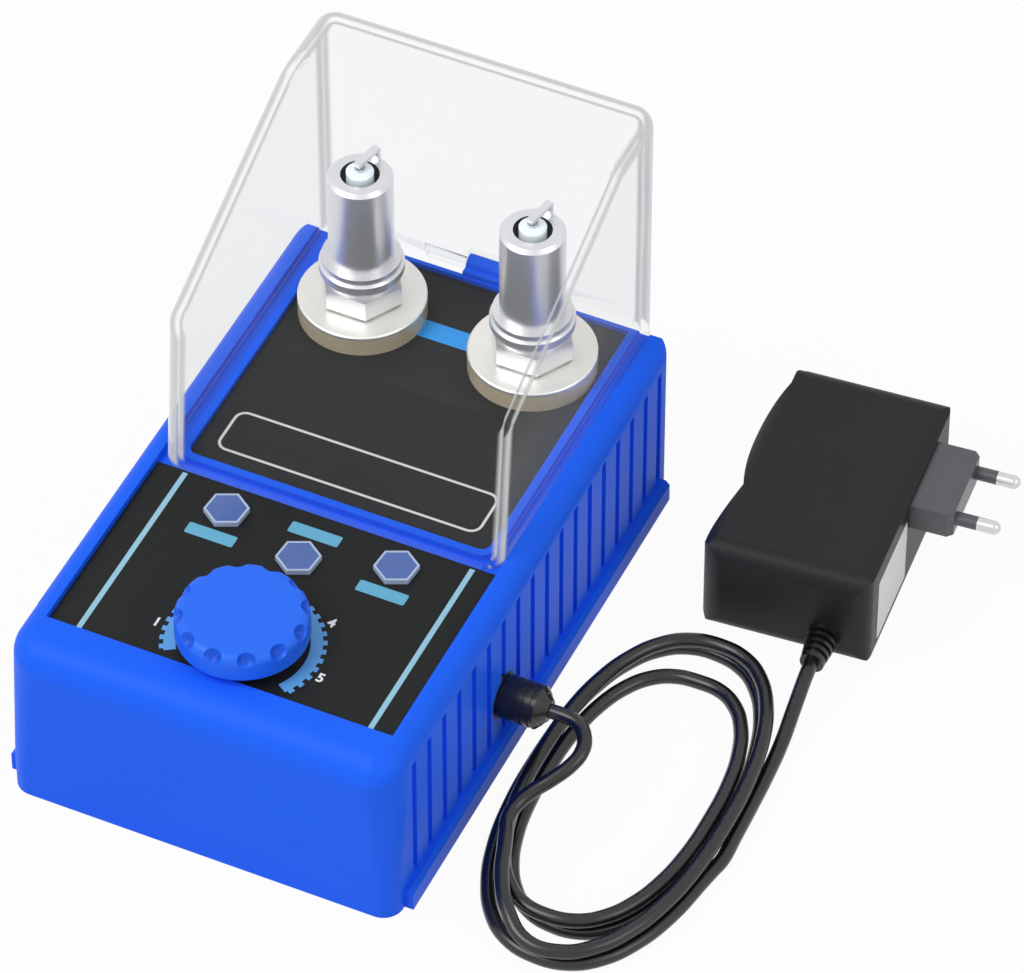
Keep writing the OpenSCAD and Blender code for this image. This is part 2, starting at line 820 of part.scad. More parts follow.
module plug_shell(sx) {
  top_chamfer = 0.8;
  neck_r = hex_af / 2 - 0.5;
  collar_r = collar_d / 2;
  strap_foot = shell_top - 1;
  strap_top = electrode_top + strap_gap + strap_t;
  color("silver") at_plug(sx) {
    difference() {
      union() {
        translate([0, 0, seat_z + hex_lift]) cylinder(h = hex_h - hex_lift, d = hex_af / cos(30), $fn = 6);
        rotate_extrude() polygon([
          [0, seat_z], [neck_r, seat_z], [neck_r, collar_foot],
          [collar_r - 0.4, collar_foot], [collar_r, collar_foot + 0.4],
          [collar_r, collar_top - 0.4], [collar_r - 0.4, collar_top],
          [thread_r, collar_top], [thread_r, shell_top - top_chamfer], [thread_r - top_chamfer, shell_top],
          [0, shell_top]
        ]);
        rotate(strap_angle) translate([strap_r - strap_t / 2, -strap_w / 2, strap_foot])
          cube([strap_t, strap_w, strap_top - strap_foot]);
        rotate(strap_angle) translate([-electrode_r, -strap_w / 2, strap_top - strap_t])
          cube([strap_r + electrode_r, strap_w, strap_t]);
      }
      translate([0, 0, seat_z - 1]) cylinder(h = nose_step - seat_z + 1, r = shell_bore);
      translate([0, 0, nose_step - tiny]) cylinder(h = shell_top - nose_step + 0.5, r = nose_bore);
    }
  }
}

module plug_gasket(sx) {
  color("lightgray") at_plug(sx) rotate_extrude()
    translate([thread_r, collar_top]) square([collar_d / 2 - 0.6 - thread_r, gasket_h]);
}

module plug_ceramic(sx) {
  ceramic_r = ceramic_d / 2;
  body_r = shell_bore - ceramic_gap;
  body_top = nose_step - 0.4;
  groove = 0.5;
  color("aliceblue") at_plug(sx) difference() {
    rotate_extrude() polygon([
      [0, ceramic_foot], [ceramic_r - 1, ceramic_foot], [ceramic_r, ceramic_foot + 1],
      [ceramic_r, seat_z - 0.6], [body_r, seat_z - 0.2], [body_r, body_top - 1.6],
      [nose_bore - 0.7, body_top], [nose_r, body_top + 6], [nose_r, nose_top - 0.5],
      [nose_r - 0.5, nose_top], [0, nose_top]
    ]);
    for (i = [0 : 3]) translate([0, 0, ceramic_foot + 6 + 4 * i]) rotate_extrude()
      translate([ceramic_r - groove, 0]) square([groove + 1, 1.4]);
    translate([0, 0, nose_step - electrode_root]) cylinder(h = electrode_root + nose_l + 5, r = electrode_r);
    translate([0, 0, ceramic_foot - 1]) cylinder(h = stud_l + 1, r = terminal_stud_r);
  }
}

module plug_electrode(sx) {
  color("gray") at_plug(sx) translate([0, 0, nose_step - electrode_root])
    cylinder(h = electrode_top - nose_step + electrode_root, r = electrode_r);
}

module plug_terminal(sx) {
  r = terminal_d / 2;
  color("lightgray") at_plug(sx) {
    rotate_extrude() polygon([
      [0, terminal_foot], [r - 0.6, terminal_foot], [r, terminal_foot + 0.6], [r, terminal_foot + 2.2],
      [r - 0.5, terminal_foot + 2.8], [r - 0.5, terminal_foot + 3.6], [r, terminal_foot + 4.2],
      [r, ceramic_foot], [terminal_stud_r, ceramic_foot], [terminal_stud_r, ceramic_foot + stud_l],
      [0, ceramic_foot + stud_l]
    ]);
  }
}

module left_plug_shell() { plug_shell(-1); }
module left_plug_gasket() { plug_gasket(-1); }
module left_plug_ceramic() { plug_ceramic(-1); }
module left_plug_electrode() { plug_electrode(-1); }
module left_plug_terminal() { plug_terminal(-1); }
module right_plug_shell() { plug_shell(1); }
module right_plug_gasket() { plug_gasket(1); }
module right_plug_ceramic() { plug_ceramic(1); }
module right_plug_electrode() { plug_electrode(1); }
module right_plug_terminal() { plug_terminal(1); }

// Power inlet and cord

module along_jack(x) {
  translate([x, jack_axis_y, jack_z]) rotate([0, 90, 0]) children();
}

module dc_jack() {
  color([0.1, 0.1, 0.1]) {
    difference() {
      union() {
        translate([inner_w / 2 - jack_l, jack_axis_y - jack_w / 2, jack_z - jack_h / 2])
          cube([jack_l, jack_w, jack_h]);
        along_jack(inner_w / 2 - tiny) cylinder(h = wall + tiny, r = jack_nose_r);
      }
      along_jack(grip_x - barrel_l - 1.2) cylinder(h = 20, r = barrel_r + 0.1);
    }
    along_jack(inner_w / 2 - jack_l + 1) cylinder(h = jack_l + wall - 2.4, r = centre_pin_r);
  }
}

module supply_leads() {
  run = board_top - board_t - jack_z - jack_h / 2;
  color("firebrick") for (sy = [-1, 1])
    translate([inner_w / 2 - jack_l + 2, jack_axis_y + sy * supply_pitch / 2, jack_z + jack_h / 2])
      cylinder(h = run, r = supply_r);
}

module dc_plug_grip() {
  rib_gap = grip_l / 5;
  color([0.08, 0.08, 0.08]) difference() {
    union() {
      along_jack(grip_x) cylinder(h = grip_l - 1, r = grip_r);
      along_jack(grip_end - 1 - tiny) cylinder(h = 1 + tiny, r1 = grip_r, r2 = grip_r - 1);
      along_jack(grip_end - tiny) cylinder(h = taper_l + tiny, r1 = grip_r - 1.2, r2 = cord_d / 2 + 0.7);
    }
    for (i = [2 : 4]) along_jack(grip_x + i * rib_gap - 0.4) difference() {
      cylinder(h = 0.8, r = grip_r + 1);
      translate([0, 0, -1]) cylinder(h = 3, r = grip_r - 0.35);
    }
  }
}

module dc_plug_barrel() {
  color("silver") along_jack(grip_x - barrel_l) difference() {
    cylinder(h = barrel_l, r = barrel_r);
    translate([0, 0, -1]) cylinder(h = barrel_l, r = barrel_bore);
  }
}

// Tube of the given sides swept along a list of points, with flat ends
function heading(path, i) =
  let (a = path[max(i - 1, 0)], b = path[min(i + 1, len(path) - 1)]) (b - a) / norm(b - a);
function ring(path, i, r, sides) =
  let (t = heading(path, i), u = cross([0, 0, 1], t) / norm(cross([0, 0, 1], t)), v = cross(t, u))
  [for (k = [0 : sides - 1]) path[i] + r * (cos(360 * k / sides) * u + sin(360 * k / sides) * v)];

module tube(path, r, sides) {
  n = len(path);
  points = [for (i = [0 : n - 1], p = ring(path, i, r, sides)) p];
  walls = [
    for (i = [0 : n - 2], k = [0 : sides - 1])
      let (a = i * sides + k, b = i * sides + (k + 1) % sides)
      each [[a, a + sides, b], [b, a + sides, b + sides]]
  ];
  caps = [
    for (k = [1 : sides - 2])
      each [[0, k, k + 1], [(n - 1) * sides, (n - 1) * sides + k + 1, (n - 1) * sides + k]]
  ];
  polyhedron(points, concat(walls, caps));
}

// Centre line of the coil: a rounded oval that draws in towards the middle turn and out again, and that
// starts up on the turn it is laid over
function rounded_sin(a) = sign(sin(a)) * pow(abs(sin(a)), 2 / coil_power);
function coil_lift(a) = max(0, (coil_from + coil_entry - a) / coil_entry);
function coil_drop(a) = min(1, max(0, (a - coil_mid + 90) / 180));
function coil_turns_in(a) = (coil_to - coil_mid - abs(a - coil_mid)) / 360 + coil_over * coil_lift(a);
function coil_height(a) =
  coil_low + coil_layer * (1 - coil_drop(a)) + coil_rise * coil_lift(a) * (2 - coil_lift(a));
function coil_point(a) =
  let (s = coil_turns_in(a))
  [
    coil_x + (coil_short - s * coil_in_short) * rounded_sin(a + 90),
    coil_y - s * coil_lean + coil_shift * coil_drop(a) + (coil_long - s * coil_in_long) * rounded_sin(a),
    coil_height(a)
  ];
function flat_heading(p, q) = let (d = [q.x - p.x, q.y - p.y, 0]) d / norm(d);
coil_angles = [for (i = [0 : coil_steps]) coil_from + (coil_to - coil_from) * i / coil_steps];
coil_turns = [for (a = coil_angles) coil_point(a)];
coil_start_way = flat_heading(coil_turns[0], coil_turns[1]);
coil_end_way = flat_heading(coil_turns[coil_steps - 1], coil_turns[coil_steps]);
coil_start = coil_turns[0] - cord_d * coil_start_way;
coil_end = coil_turns[coil_steps] + cord_d * coil_end_way;

// Least gap between stretches of the coil that are at least a third of a turn apart
fine_steps = 400;
fine_path = [for (i = [0 : fine_steps]) coil_point(coil_from + (coil_to - coil_from) * i / fine_steps)];
turn_steps = ceil(120 * fine_steps / (coil_to - coil_from));
coil_gap = min([
  for (i = [0 : fine_steps - turn_steps], j = [i + turn_steps : fine_steps])
    norm(fine_path[i] - fine_path[j])
]) - cord_d;
echo(coil_gap = coil_gap);

module cord_coil() {
  color([0.08, 0.08, 0.08]) tube(concat([coil_start], coil_turns, [coil_end]), cord_d / 2, 6);
}

module plug_lead() {
  plug_end = [taper_end, jack_axis_y, jack_z];
  route = concat(
    [plug_end, plug_end + [cord_d, 0, 0]], lead_points,
    [coil_start - cord_d * coil_start_way, coil_start]
  );
  color([0.08, 0.08, 0.08]) tube(route, cord_d / 2, 8);
}

// Adapter

module on_adapter() {
  translate([adapter_x, adapter_y, 0]) rotate(adapter_turn) children();
}

function from_adapter(p) =
  [
    adapter_x + p.x * cos(adapter_turn) - p.y * sin(adapter_turn),
    adapter_y + p.x * sin(adapter_turn) + p.y * cos(adapter_turn),
    p.z
  ];

module adapter_lead() {
  relief_tip = from_adapter([relief_local_x, -adapter_l / 2 - relief_l, relief_z]);
  relief_out = from_adapter([relief_local_x, -adapter_l / 2 - relief_l - cord_d, relief_z]);
  route = concat(
    [coil_end, coil_end + cord_d * coil_end_way], tail_points, [relief_out, relief_tip]
  );
  color([0.08, 0.08, 0.08]) tube(route, cord_d / 2, 8);
}

module strain_relief() {
  rib_pitch = relief_l / (relief_ribs + 1);
  color([0.08, 0.08, 0.08]) on_adapter()
    translate([relief_local_x, -adapter_l / 2, relief_z]) rotate([90, 0, 0]) difference() {
      cylinder(h = relief_l, r1 = relief_r, r2 = relief_end_r);
      for (i = [1 : relief_ribs]) translate([0, 0, i * rib_pitch - 0.45]) difference() {
        cylinder(h = 0.9, r = relief_r + 1);
        translate([0, 0, -1]) cylinder(h = 3, r = relief_end_r - 0.4);
      }
    }
}

// Plan of the adapter: its back slants, and a swollen finger grip and the front flare lie away from the pins
module adapter_plan(shrink) {
  w = adapter_w - 2 * shrink;
  front = shrink - adapter_l / 2;
  back = adapter_l / 2 - shrink;
  c = adapter_corner - shrink;
  front_c = flare_corner - shrink;
  swell_r = (swell_l * swell_l / 4 + bulge * bulge) / (2 * bulge);
  difference() {
    rounded_rect(w, adapter_l - 2 * shrink, c);
    polygon([[w / 2, back], [-w, back - 1.5 * back_slant], [-w, back + 1], [w / 2, back + 1]]);
  }
  intersection() {
    translate([swell_r - bulge - w / 2, swell_y]) circle(swell_r, $fn = 180);
    translate([-w, -adapter_l / 2]) square([w, adapter_l]);
  }
  polygon([
    [0, flare_y], [-w / 2, flare_y], [-w / 2 - flare, front + front_c],
    [front_c - w / 2 - flare, front], [0, front]
  ]);
  translate([front_c - w / 2 - flare, front + front_c]) circle(front_c);
}

// The adapter's outer form, or the room inside it when shrunk by a wall
module adapter_block(shrink) {
  reach = max(bulge, flare);
  w = adapter_w + reach + edge_ease - 2 * shrink;
  l = adapter_l - 2 * shrink;
  h = adapter_h - 2 * shrink;
  r = edge_r - shrink;
  translate([0, 0, shrink]) intersection() {
    linear_extrude(h) adapter_plan(shrink);
    translate([-w, 0, h / 2]) rotate([90, 0, 90]) linear_extrude(2 * w) rounded_rect(l, h, r);
    translate([(edge_ease - reach) / 2, l, h / 2]) rotate([90, 0, 0])
      linear_extrude(2 * l) rounded_rect(w, h, r);
  }
}

module adapter_half(pin_side) {
  reach_x = 2 * adapter_w;
  on_adapter() difference() {
    intersection() {
      adapter_block(0);
      translate([pin_side ? split_x : split_x - reach_x, -adapter_l, -1])
        cube([reach_x, 2 * adapter_l, 2 * adapter_h]);
    }
    adapter_block(adapter_wall);
  }
}

module adapter_back_shell() {
  color([0.1, 0.1, 0.11]) adapter_half(false);
}

module adapter_pin_shell() {
  color([0.1, 0.1, 0.11]) adapter_half(true);
}

module at_mains_pins(x) {
  on_adapter() for (sy = [-1, 1])
    translate([adapter_w / 2 + block_out + x, block_local_y + sy * mains_pitch / 2, block_z])
      rotate([0, 90, 0]) children();
}

module adapter_plug_block() {
  c = block_corner;
  color([0.14, 0.14, 0.15]) {
    on_adapter() translate([adapter_w / 2, block_local_y, block_z - block_h / 2]) linear_extrude(block_h)
      polygon([
        [0, -block_l / 2], [block_out - c, -block_l / 2], [block_out, -block_l / 2 + c],
        [block_out, block_l / 2 - c], [block_out - c, block_l / 2], [0, block_l / 2]
      ]);
    at_mains_pins(-tiny) cylinder(h = mains_sleeve + tiny, d = mains_d);
  }
}

module adapter_pins() {
  tip_l = mains_l - mains_sleeve - mains_d / 2;
  color("silver") at_mains_pins(mains_sleeve) {
    cylinder(h = tip_l, d = mains_d);
    translate([0, 0, tip_l]) sphere(d = mains_d);
  }
}

module adapter_board() {
  color("darkgreen") on_adapter() translate([0, 0, adapter_wall + 0.8])
    cube([adapter_w - 2 * adapter_wall - 4, adapter_l - 2 * adapter_wall - 4, 1.6], center = true);
}

module adapter_transformer() {
  color([0.75, 0.65, 0.3]) on_adapter() translate([-6, -6, adapter_wall + 1.6])
    cube([transformer_w, transformer_l, transformer_h]);
}

upper_housing();
base_cover();
case_screws();
control_label();
deck_label();
clear_cover();
hinge_pin();
control_knob();
pot_shaft();
pot_body();
pot_nut();
indicator_bezels();
indicator_lenses();
indicator_leds();
control_board();
board_screws();
board_parts();
ignition_coil();
hv_leads();
left_socket();
right_socket();
left_ground_disc();
right_ground_disc();
socket_nuts();
contact_cups();
contact_nuts();
left_plug_shell();
left_plug_gasket();
left_plug_ceramic();
left_plug_electrode();
left_plug_terminal();
right_plug_shell();
right_plug_gasket();
right_plug_ceramic();
right_plug_electrode();
right_plug_terminal();
dc_jack();
supply_leads();
dc_plug_grip();
dc_plug_barrel();
plug_lead();
cord_coil();
adapter_lead();
strain_relief();
adapter_back_shell();
adapter_pin_shell();
adapter_plug_block();
adapter_pins();
adapter_board();
adapter_transformer();
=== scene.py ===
import math

import bmesh
import bpy
from mathutils import Matrix, Vector


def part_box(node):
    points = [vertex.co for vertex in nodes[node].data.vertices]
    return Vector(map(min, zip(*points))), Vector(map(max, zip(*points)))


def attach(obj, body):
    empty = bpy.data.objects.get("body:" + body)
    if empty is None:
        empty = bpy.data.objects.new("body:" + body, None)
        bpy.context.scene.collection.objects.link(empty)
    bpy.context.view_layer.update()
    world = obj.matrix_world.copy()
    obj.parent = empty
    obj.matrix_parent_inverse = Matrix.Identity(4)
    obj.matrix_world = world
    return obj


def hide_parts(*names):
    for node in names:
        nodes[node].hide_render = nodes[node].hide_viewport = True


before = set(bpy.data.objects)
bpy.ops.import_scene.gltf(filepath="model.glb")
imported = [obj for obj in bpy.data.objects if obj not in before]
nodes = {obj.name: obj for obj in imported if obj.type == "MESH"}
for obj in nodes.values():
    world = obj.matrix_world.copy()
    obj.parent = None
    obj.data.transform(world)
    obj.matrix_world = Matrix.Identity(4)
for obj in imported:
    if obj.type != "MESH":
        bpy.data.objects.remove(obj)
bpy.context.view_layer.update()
bpy.context.scene.view_settings.view_transform = "Standard"
mm = 0.001
weld = 1e-6   # metres: points closer than this are one
pick = 1e-5   # metres: a part this close to a place is taken to be there
print("frame loaded with", len(nodes), "nodes")


# Small helpers

def place(x, y, z):
    return Vector((x, y, z)) * mm


def linkPiece(name, data):
    piece = bpy.data.objects.new(name, data)
    bpy.context.scene.collection.objects.link(piece)
    return piece


def meshPiece(name, bm, finish, smooth=True):
    bmesh.ops.recalc_face_normals(bm, faces=bm.faces)
    mesh = bpy.data.meshes.new(name)
    bm.to_mesh(mesh)
    bm.free()
    for face in mesh.polygons:
        face.use_smooth = smooth
    mesh.materials.append(finish)
    return linkPiece(name, mesh)


def settled(piece):
    # the mesh with its modifiers applied
    bpy.context.view_layer.update()
    graph = bpy.context.evaluated_depsgraph_get()
    return bpy.data.meshes.new_from_object(piece.evaluated_get(graph))


def settle(piece):
    mesh = settled(piece)
    piece.modifiers.clear()
    piece.data = mesh
    return piece


def mergeDoubles(bm):
    bmesh.ops.remove_doubles(bm, verts=bm.verts, dist=weld)


def newVerts(grown):
    # the points that an extrusion made
    return [v for v in grown["geom"] if isinstance(v, bmesh.types.BMVert)]


def addBoolean(piece, tool, operation):
    step = piece.modifiers.new(tool.name, "BOOLEAN")
    step.operation = operation
    step.object = tool


def dropTools(tools):
    for tool in tools:
        mesh = tool.data
        bpy.data.objects.remove(tool)
        bpy.data.meshes.remove(mesh)


def evenNormals(piece):
    even = piece.modifiers.new("even", "WEIGHTED_NORMAL")
    even.keep_sharp = True


# Camera, at the photograph's viewing angle

cameraView = {
    "stand": (0.46707, -0.92708, 1.11025),
    "aim": (-0.29292, 0.63215, -0.71735),
    "lens": 253.1,
    "sensor": 36.0,
    "near": 0.05,
    "far": 30,
}


def makeCamera(view):
    data = bpy.data.cameras.new("camera")
    data.sensor_fit = "HORIZONTAL"
    data.sensor_width = view["sensor"]
    data.lens = view["lens"]
    data.clip_start = view["near"]
    data.clip_end = view["far"]
    camera = linkPiece("camera", data)
    camera.location = view["stand"]
    camera.rotation_euler = Vector(view["aim"]).to_track_quat("-Z", "Y").to_euler()
    bpy.context.scene.camera = camera


makeCamera(cameraView)
print("camera set")


# Shared finishes: node groups with named inputs and outputs

def startGroup(name, inputs, outputs):
    tree = bpy.data.node_groups.new(name, "ShaderNodeTree")
    kinds = {"c": "NodeSocketColor", "f": "NodeSocketFloat", "v": "NodeSocketVector"}
    for label, kind in inputs:
        tree.interface.new_socket(label, in_out="INPUT", socket_type=kinds[kind])
    for label, kind in outputs:
        tree.interface.new_socket(label, in_out="OUTPUT", socket_type=kinds[kind])
    return tree, tree.nodes.new("NodeGroupInput"), tree.nodes.new("NodeGroupOutput")


def addNode(tree, kind, **settings):
    node = tree.nodes.new(kind)
    for name, value in settings.items():
        setattr(node, name, value)
    return node


def feed(tree, socket, value):
    # a plain number is set on the socket, and anything else is linked to it
    if isinstance(value, (int, float)):
        socket.default_value = value
    else:
        tree.links.new(value, socket)


def addMath(tree, operation, first, second):
    node = addNode(tree, "ShaderNodeMath", operation=operation)
    feed(tree, node.inputs[0], first)
    feed(tree, node.inputs[1], second)
    return node.outputs[0]


def addNoise(tree, vector, scale, detail):
    node = addNode(tree, "ShaderNodeTexNoise")
    node.inputs["Detail"].default_value = detail
    tree.links.new(vector, node.inputs["Vector"])
    tree.links.new(scale, node.inputs["Scale"])
    return node.outputs[0]


def addColourMix(tree, factor, first, second):
    node = addNode(tree, "ShaderNodeMix", data_type="RGBA")
    tree.links.new(factor, node.inputs["Factor"])
    tree.links.new(first, node.inputs[6])
    tree.links.new(second, node.inputs[7])
    return node.outputs[2]


def addFade(tree, factor, first, second):
    # from one fixed colour to another
    node = addNode(tree, "ShaderNodeMix", data_type="RGBA")
    tree.links.new(factor, node.inputs["Factor"])
    node.inputs[6].default_value = (*first, 1)
    node.inputs[7].default_value = (*second, 1)
    return node.outputs[2]


def addSpread(tree, value, given, low, high):
    # runs from low to high while the value runs over the given range
    node = addNode(tree, "ShaderNodeMapRange")
    tree.links.new(value, node.inputs["Value"])
    ends = {"From Min": given[0], "From Max": given[1], "To Min": low, "To Max": high}
    for label, end in ends.items():
        feed(tree, node.inputs[label], end)
    return node.outputs["Result"]


noiseRange = (0.3, 0.7)   # nearly all of a noise's values
grainShare = 0.6          # the grain's part in the roughness, beside the clouds'
grainDetail = 4
ringDetail = 3
cloudDetail = 2
grainSockets = [
    ("Vector", "v"), ("Shade", "c"), ("Tint", "c"),
    ("Grain Scale", "f"), ("Cloud Scale", "f"), ("Rough Low", "f"), ("Rough High", "f"),
]
grainResults = [("Color", "c"), ("Roughness", "f"), ("Height", "f")]


def blendGrain(tree, grain, cloud):
    fine = addMath(tree, "MULTIPLY", grain, grainShare)
    return addMath(tree, "ADD", fine, addMath(tree, "MULTIPLY", cloud, 1 - grainShare))


def endGroup(tree, given, result, both, cover, height):
    # cover is the mask between the two colours
    colour = addColourMix(tree, cover, given.outputs["Shade"], given.outputs["Tint"])
    rough = addSpread(tree, both, noiseRange, given.outputs["Rough Low"], given.outputs["Rough High"])
    for label, value in (("Color", colour), ("Roughness", rough), ("Height", height)):
        tree.links.new(value, result.inputs[label])
    return tree


def makeMouldGrain():
    # spark-eroded mould texture with faint flow clouds in the colour
    tree, given, result = startGroup("mouldGrain", grainSockets, grainResults)
    grain = addNoise(tree, given.outputs["Vector"], given.outputs["Grain Scale"], grainDetail)
    cloud = addNoise(tree, given.outputs["Vector"], given.outputs["Cloud Scale"], cloudDetail)
    return endGroup(tree, given, result, blendGrain(tree, grain, cloud), cloud, grain)


def squareRadius(tree, parts):
    squares = [addMath(tree, "MULTIPLY", part, part) for part in parts.outputs[:2]]
    return addMath(tree, "ADD", *squares)


def makeTurnedMarks():
    # rings left by the lathe: the pattern depends on the radius and the height alone
    tree, given, result = startGroup("turnedMarks", grainSockets, grainResults)
    parts = addNode(tree, "ShaderNodeSeparateXYZ")
    tree.links.new(given.outputs["Vector"], parts.inputs[0])
    radius = addMath(tree, "POWER", squareRadius(tree, parts), 0.5)
    joined = addNode(tree, "ShaderNodeCombineXYZ")
    tree.links.new(radius, joined.inputs[0])
    tree.links.new(parts.outputs[2], joined.inputs[2])
    rings = addNoise(tree, joined.outputs[0], given.outputs["Grain Scale"], ringDetail)
    cloud = addNoise(tree, given.outputs["Vector"], given.outputs["Cloud Scale"], cloudDetail)
    both = blendGrain(tree, rings, cloud)
    return endGroup(tree, given, result, both, both, rings)


patterns = {"mouldGrain": makeMouldGrain(), "turnedMarks": makeTurnedMarks()}


def addPattern(tree, pattern, coords, grain, cloud, rough):
    group = addNode(tree, "ShaderNodeGroup", node_tree=patterns[pattern])
    tree.links.new(coords, group.inputs["Vector"])
    values = {"Grain Scale": grain, "Cloud Scale": cloud, "Rough Low": rough[0], "Rough High": rough[1]}
    for label, value in values.items():
        group.inputs[label].default_value = value
    return group


# mixes the colour towards a darker tone by the factor: painted shade
def addPaintedShade(tree, factor, colour, tone):
    node = addNode(tree, "ShaderNodeRGB")
    node.outputs[0].default_value = (*tone, 1)
    return addColourMix(tree, factor, colour, node.outputs[0])


def makeFinish(
        name, pattern, shade, tint, grain, cloud, rough, bump, centre=None, hollow=None, soot=None,
        **constants):
    # constants are socket names of the shader, with their values
    # painted shade: the darker colour that a piece's hollows take on, by its attribute of that name
    # painted shade in a bore: a radius about the centre, a height and the darker colour within them
    finish = bpy.data.materials.new(name)
    finish.use_nodes = True
    tree = finish.node_tree
    shader = tree.nodes["Principled BSDF"]
    coords = addNode(tree, "ShaderNodeTexCoord").outputs["Object"]
    if centre:
        mapping = addNode(tree, "ShaderNodeMapping")
        mapping.inputs["Location"].default_value = [-c * mm for c in centre]
        tree.links.new(coords, mapping.inputs["Vector"])
        coords = mapping.outputs["Vector"]
    group = addPattern(tree, pattern, coords, grain, cloud, rough)
    group.inputs["Shade"].default_value = (*shade, 1)
    group.inputs["Tint"].default_value = (*tint, 1)
    relief = addNode(tree, "ShaderNodeBump")
    relief.inputs["Strength"].default_value = bump[0]
    relief.inputs["Distance"].default_value = bump[1] * mm
    colour = group.outputs["Color"]
    # painted shade in the hollows, darker where the piece dips below its outer form
    if hollow:
        depth = addNode(tree, "ShaderNodeAttribute", attribute_name="hollow").outputs["Fac"]
        colour = addPaintedShade(tree, depth, colour, hollow)
    # painted shade inside the bore round the nose
    if soot:
        parts = addNode(tree, "ShaderNodeSeparateXYZ")
        tree.links.new(coords, parts.inputs[0])
        inside = addMath(tree, "LESS_THAN", squareRadius(tree, parts), (soot["radius"] * mm) ** 2)
        below = addMath(tree, "LESS_THAN", parts.outputs[2], soot["top"] * mm)
        colour = addPaintedShade(tree, addMath(tree, "MULTIPLY", inside, below), colour, soot["tone"])
    tree.links.new(colour, shader.inputs["Base Color"])
    tree.links.new(group.outputs["Roughness"], shader.inputs["Roughness"])
    tree.links.new(group.outputs["Height"], relief.inputs["Height"])
    tree.links.new(relief.outputs["Normal"], shader.inputs["Normal"])
    for label, value in constants.items():
        shader.inputs[label.replace("_", " ")].default_value = value
    return finish


def plastic(name, shade, tint, grain=1500, cloud=18, rough=(0.32, 0.46), bump=(0.25, 0.03), **constants):
    return makeFinish(name, "mouldGrain", shade, tint, grain, cloud, rough, bump, **constants)


def metal(
        name, shade, tint, grain=2600, cloud=90, rough=(0.18, 0.34), bump=(0.05, 0.01), metallic=1.0,
        **options):
    return makeFinish(
        name, "turnedMarks", shade, tint, grain, cloud, rough, bump, Metallic=metallic, **options)


hoodFinish = {
    "grain": 60,
    "cloud": 15,
    "rough": (0.06, 0.12),
    "wallHaze": 0.010,
    "glanceHaze": 0.30,
    "glancePower": 4.0,
    # how fully the painted edge line covers what is behind it
    "paintedEdgeCover": 0.90,
    "edgeTurn": (0.31, 0.45),   # how far an edge turns away where its haze starts and is full
    "wallShade": (0.58, 0.59, 0.60),
    "wallTint": (0.66, 0.67, 0.68),
    "edgeShade": (0.05, 0.05, 0.05),
    "paintedEdgeGlow": (0.47, 0.475, 0.48),   # painted glow on the rounded edges: a painted highlight
    "clearTint": (0.985, 0.988, 0.992),
}


def clearPlastic(look):
    # thin clear walls: mostly open, with a haze that thickens at glancing angles; along the rounded edges a
    # painted line, dark with a painted glow, stands in for their highlights and reflections
    finish = bpy.data.materials.new("clearAcrylic")
    finish.use_nodes = True
    tree = finish.node_tree
    shader = tree.nodes["Principled BSDF"]
    coords = addNode(tree, "ShaderNodeTexCoord").outputs["Object"]
    group = addPattern(tree, "mouldGrain", coords, look["grain"], look["cloud"], look["rough"])
    edge = addNode(tree, "ShaderNodeAttribute", attribute_name="glint").outputs["Fac"]
    for label, flat in (("Shade", look["wallShade"]), ("Tint", look["wallTint"])):
        tree.links.new(addFade(tree, edge, flat, look["edgeShade"]), group.inputs[label])
    tree.links.new(group.outputs["Color"], shader.inputs["Base Color"])
    tree.links.new(group.outputs["Roughness"], shader.inputs["Roughness"])
    # painted glow along the rounded edges
    tree.links.new(addFade(tree, edge, (0, 0, 0), look["paintedEdgeGlow"]), shader.inputs["Emission Color"])
    shader.inputs["Emission Strength"].default_value = 1.0
    glance = addNode(tree, "ShaderNodeLayerWeight").outputs["Facing"]
    rim = addMath(tree, "MULTIPLY", edge, addSpread(tree, glance, look["edgeTurn"], 0, 1))
    hazeAndPaintedEdge = addMath(tree, "MULTIPLY", addMath(tree, "POWER", glance, look["glancePower"]), look["glanceHaze"])
    hazeAndPaintedEdge = addMath(tree, "ADD", hazeAndPaintedEdge, look["wallHaze"])
    hazeAndPaintedEdge = addMath(tree, "ADD", hazeAndPaintedEdge, addMath(tree, "MULTIPLY", rim, look["paintedEdgeCover"]))
    hazeAndPaintedEdge = addMath(tree, "MINIMUM", hazeAndPaintedEdge, 1.0)
    clear = addNode(tree, "ShaderNodeBsdfTransparent")
    clear.inputs["Color"].default_value = (*look["clearTint"], 1)
    mix = addNode(tree, "ShaderNodeMixShader")
    tree.links.new(hazeAndPaintedEdge, mix.inputs[0])
    tree.links.new(clear.outputs[0], mix.inputs[1])
    tree.links.new(shader.outputs[0], mix.inputs[2])
    tree.links.new(mix.outputs[0], tree.nodes["Material Output"].inputs["Surface"])
    return finish


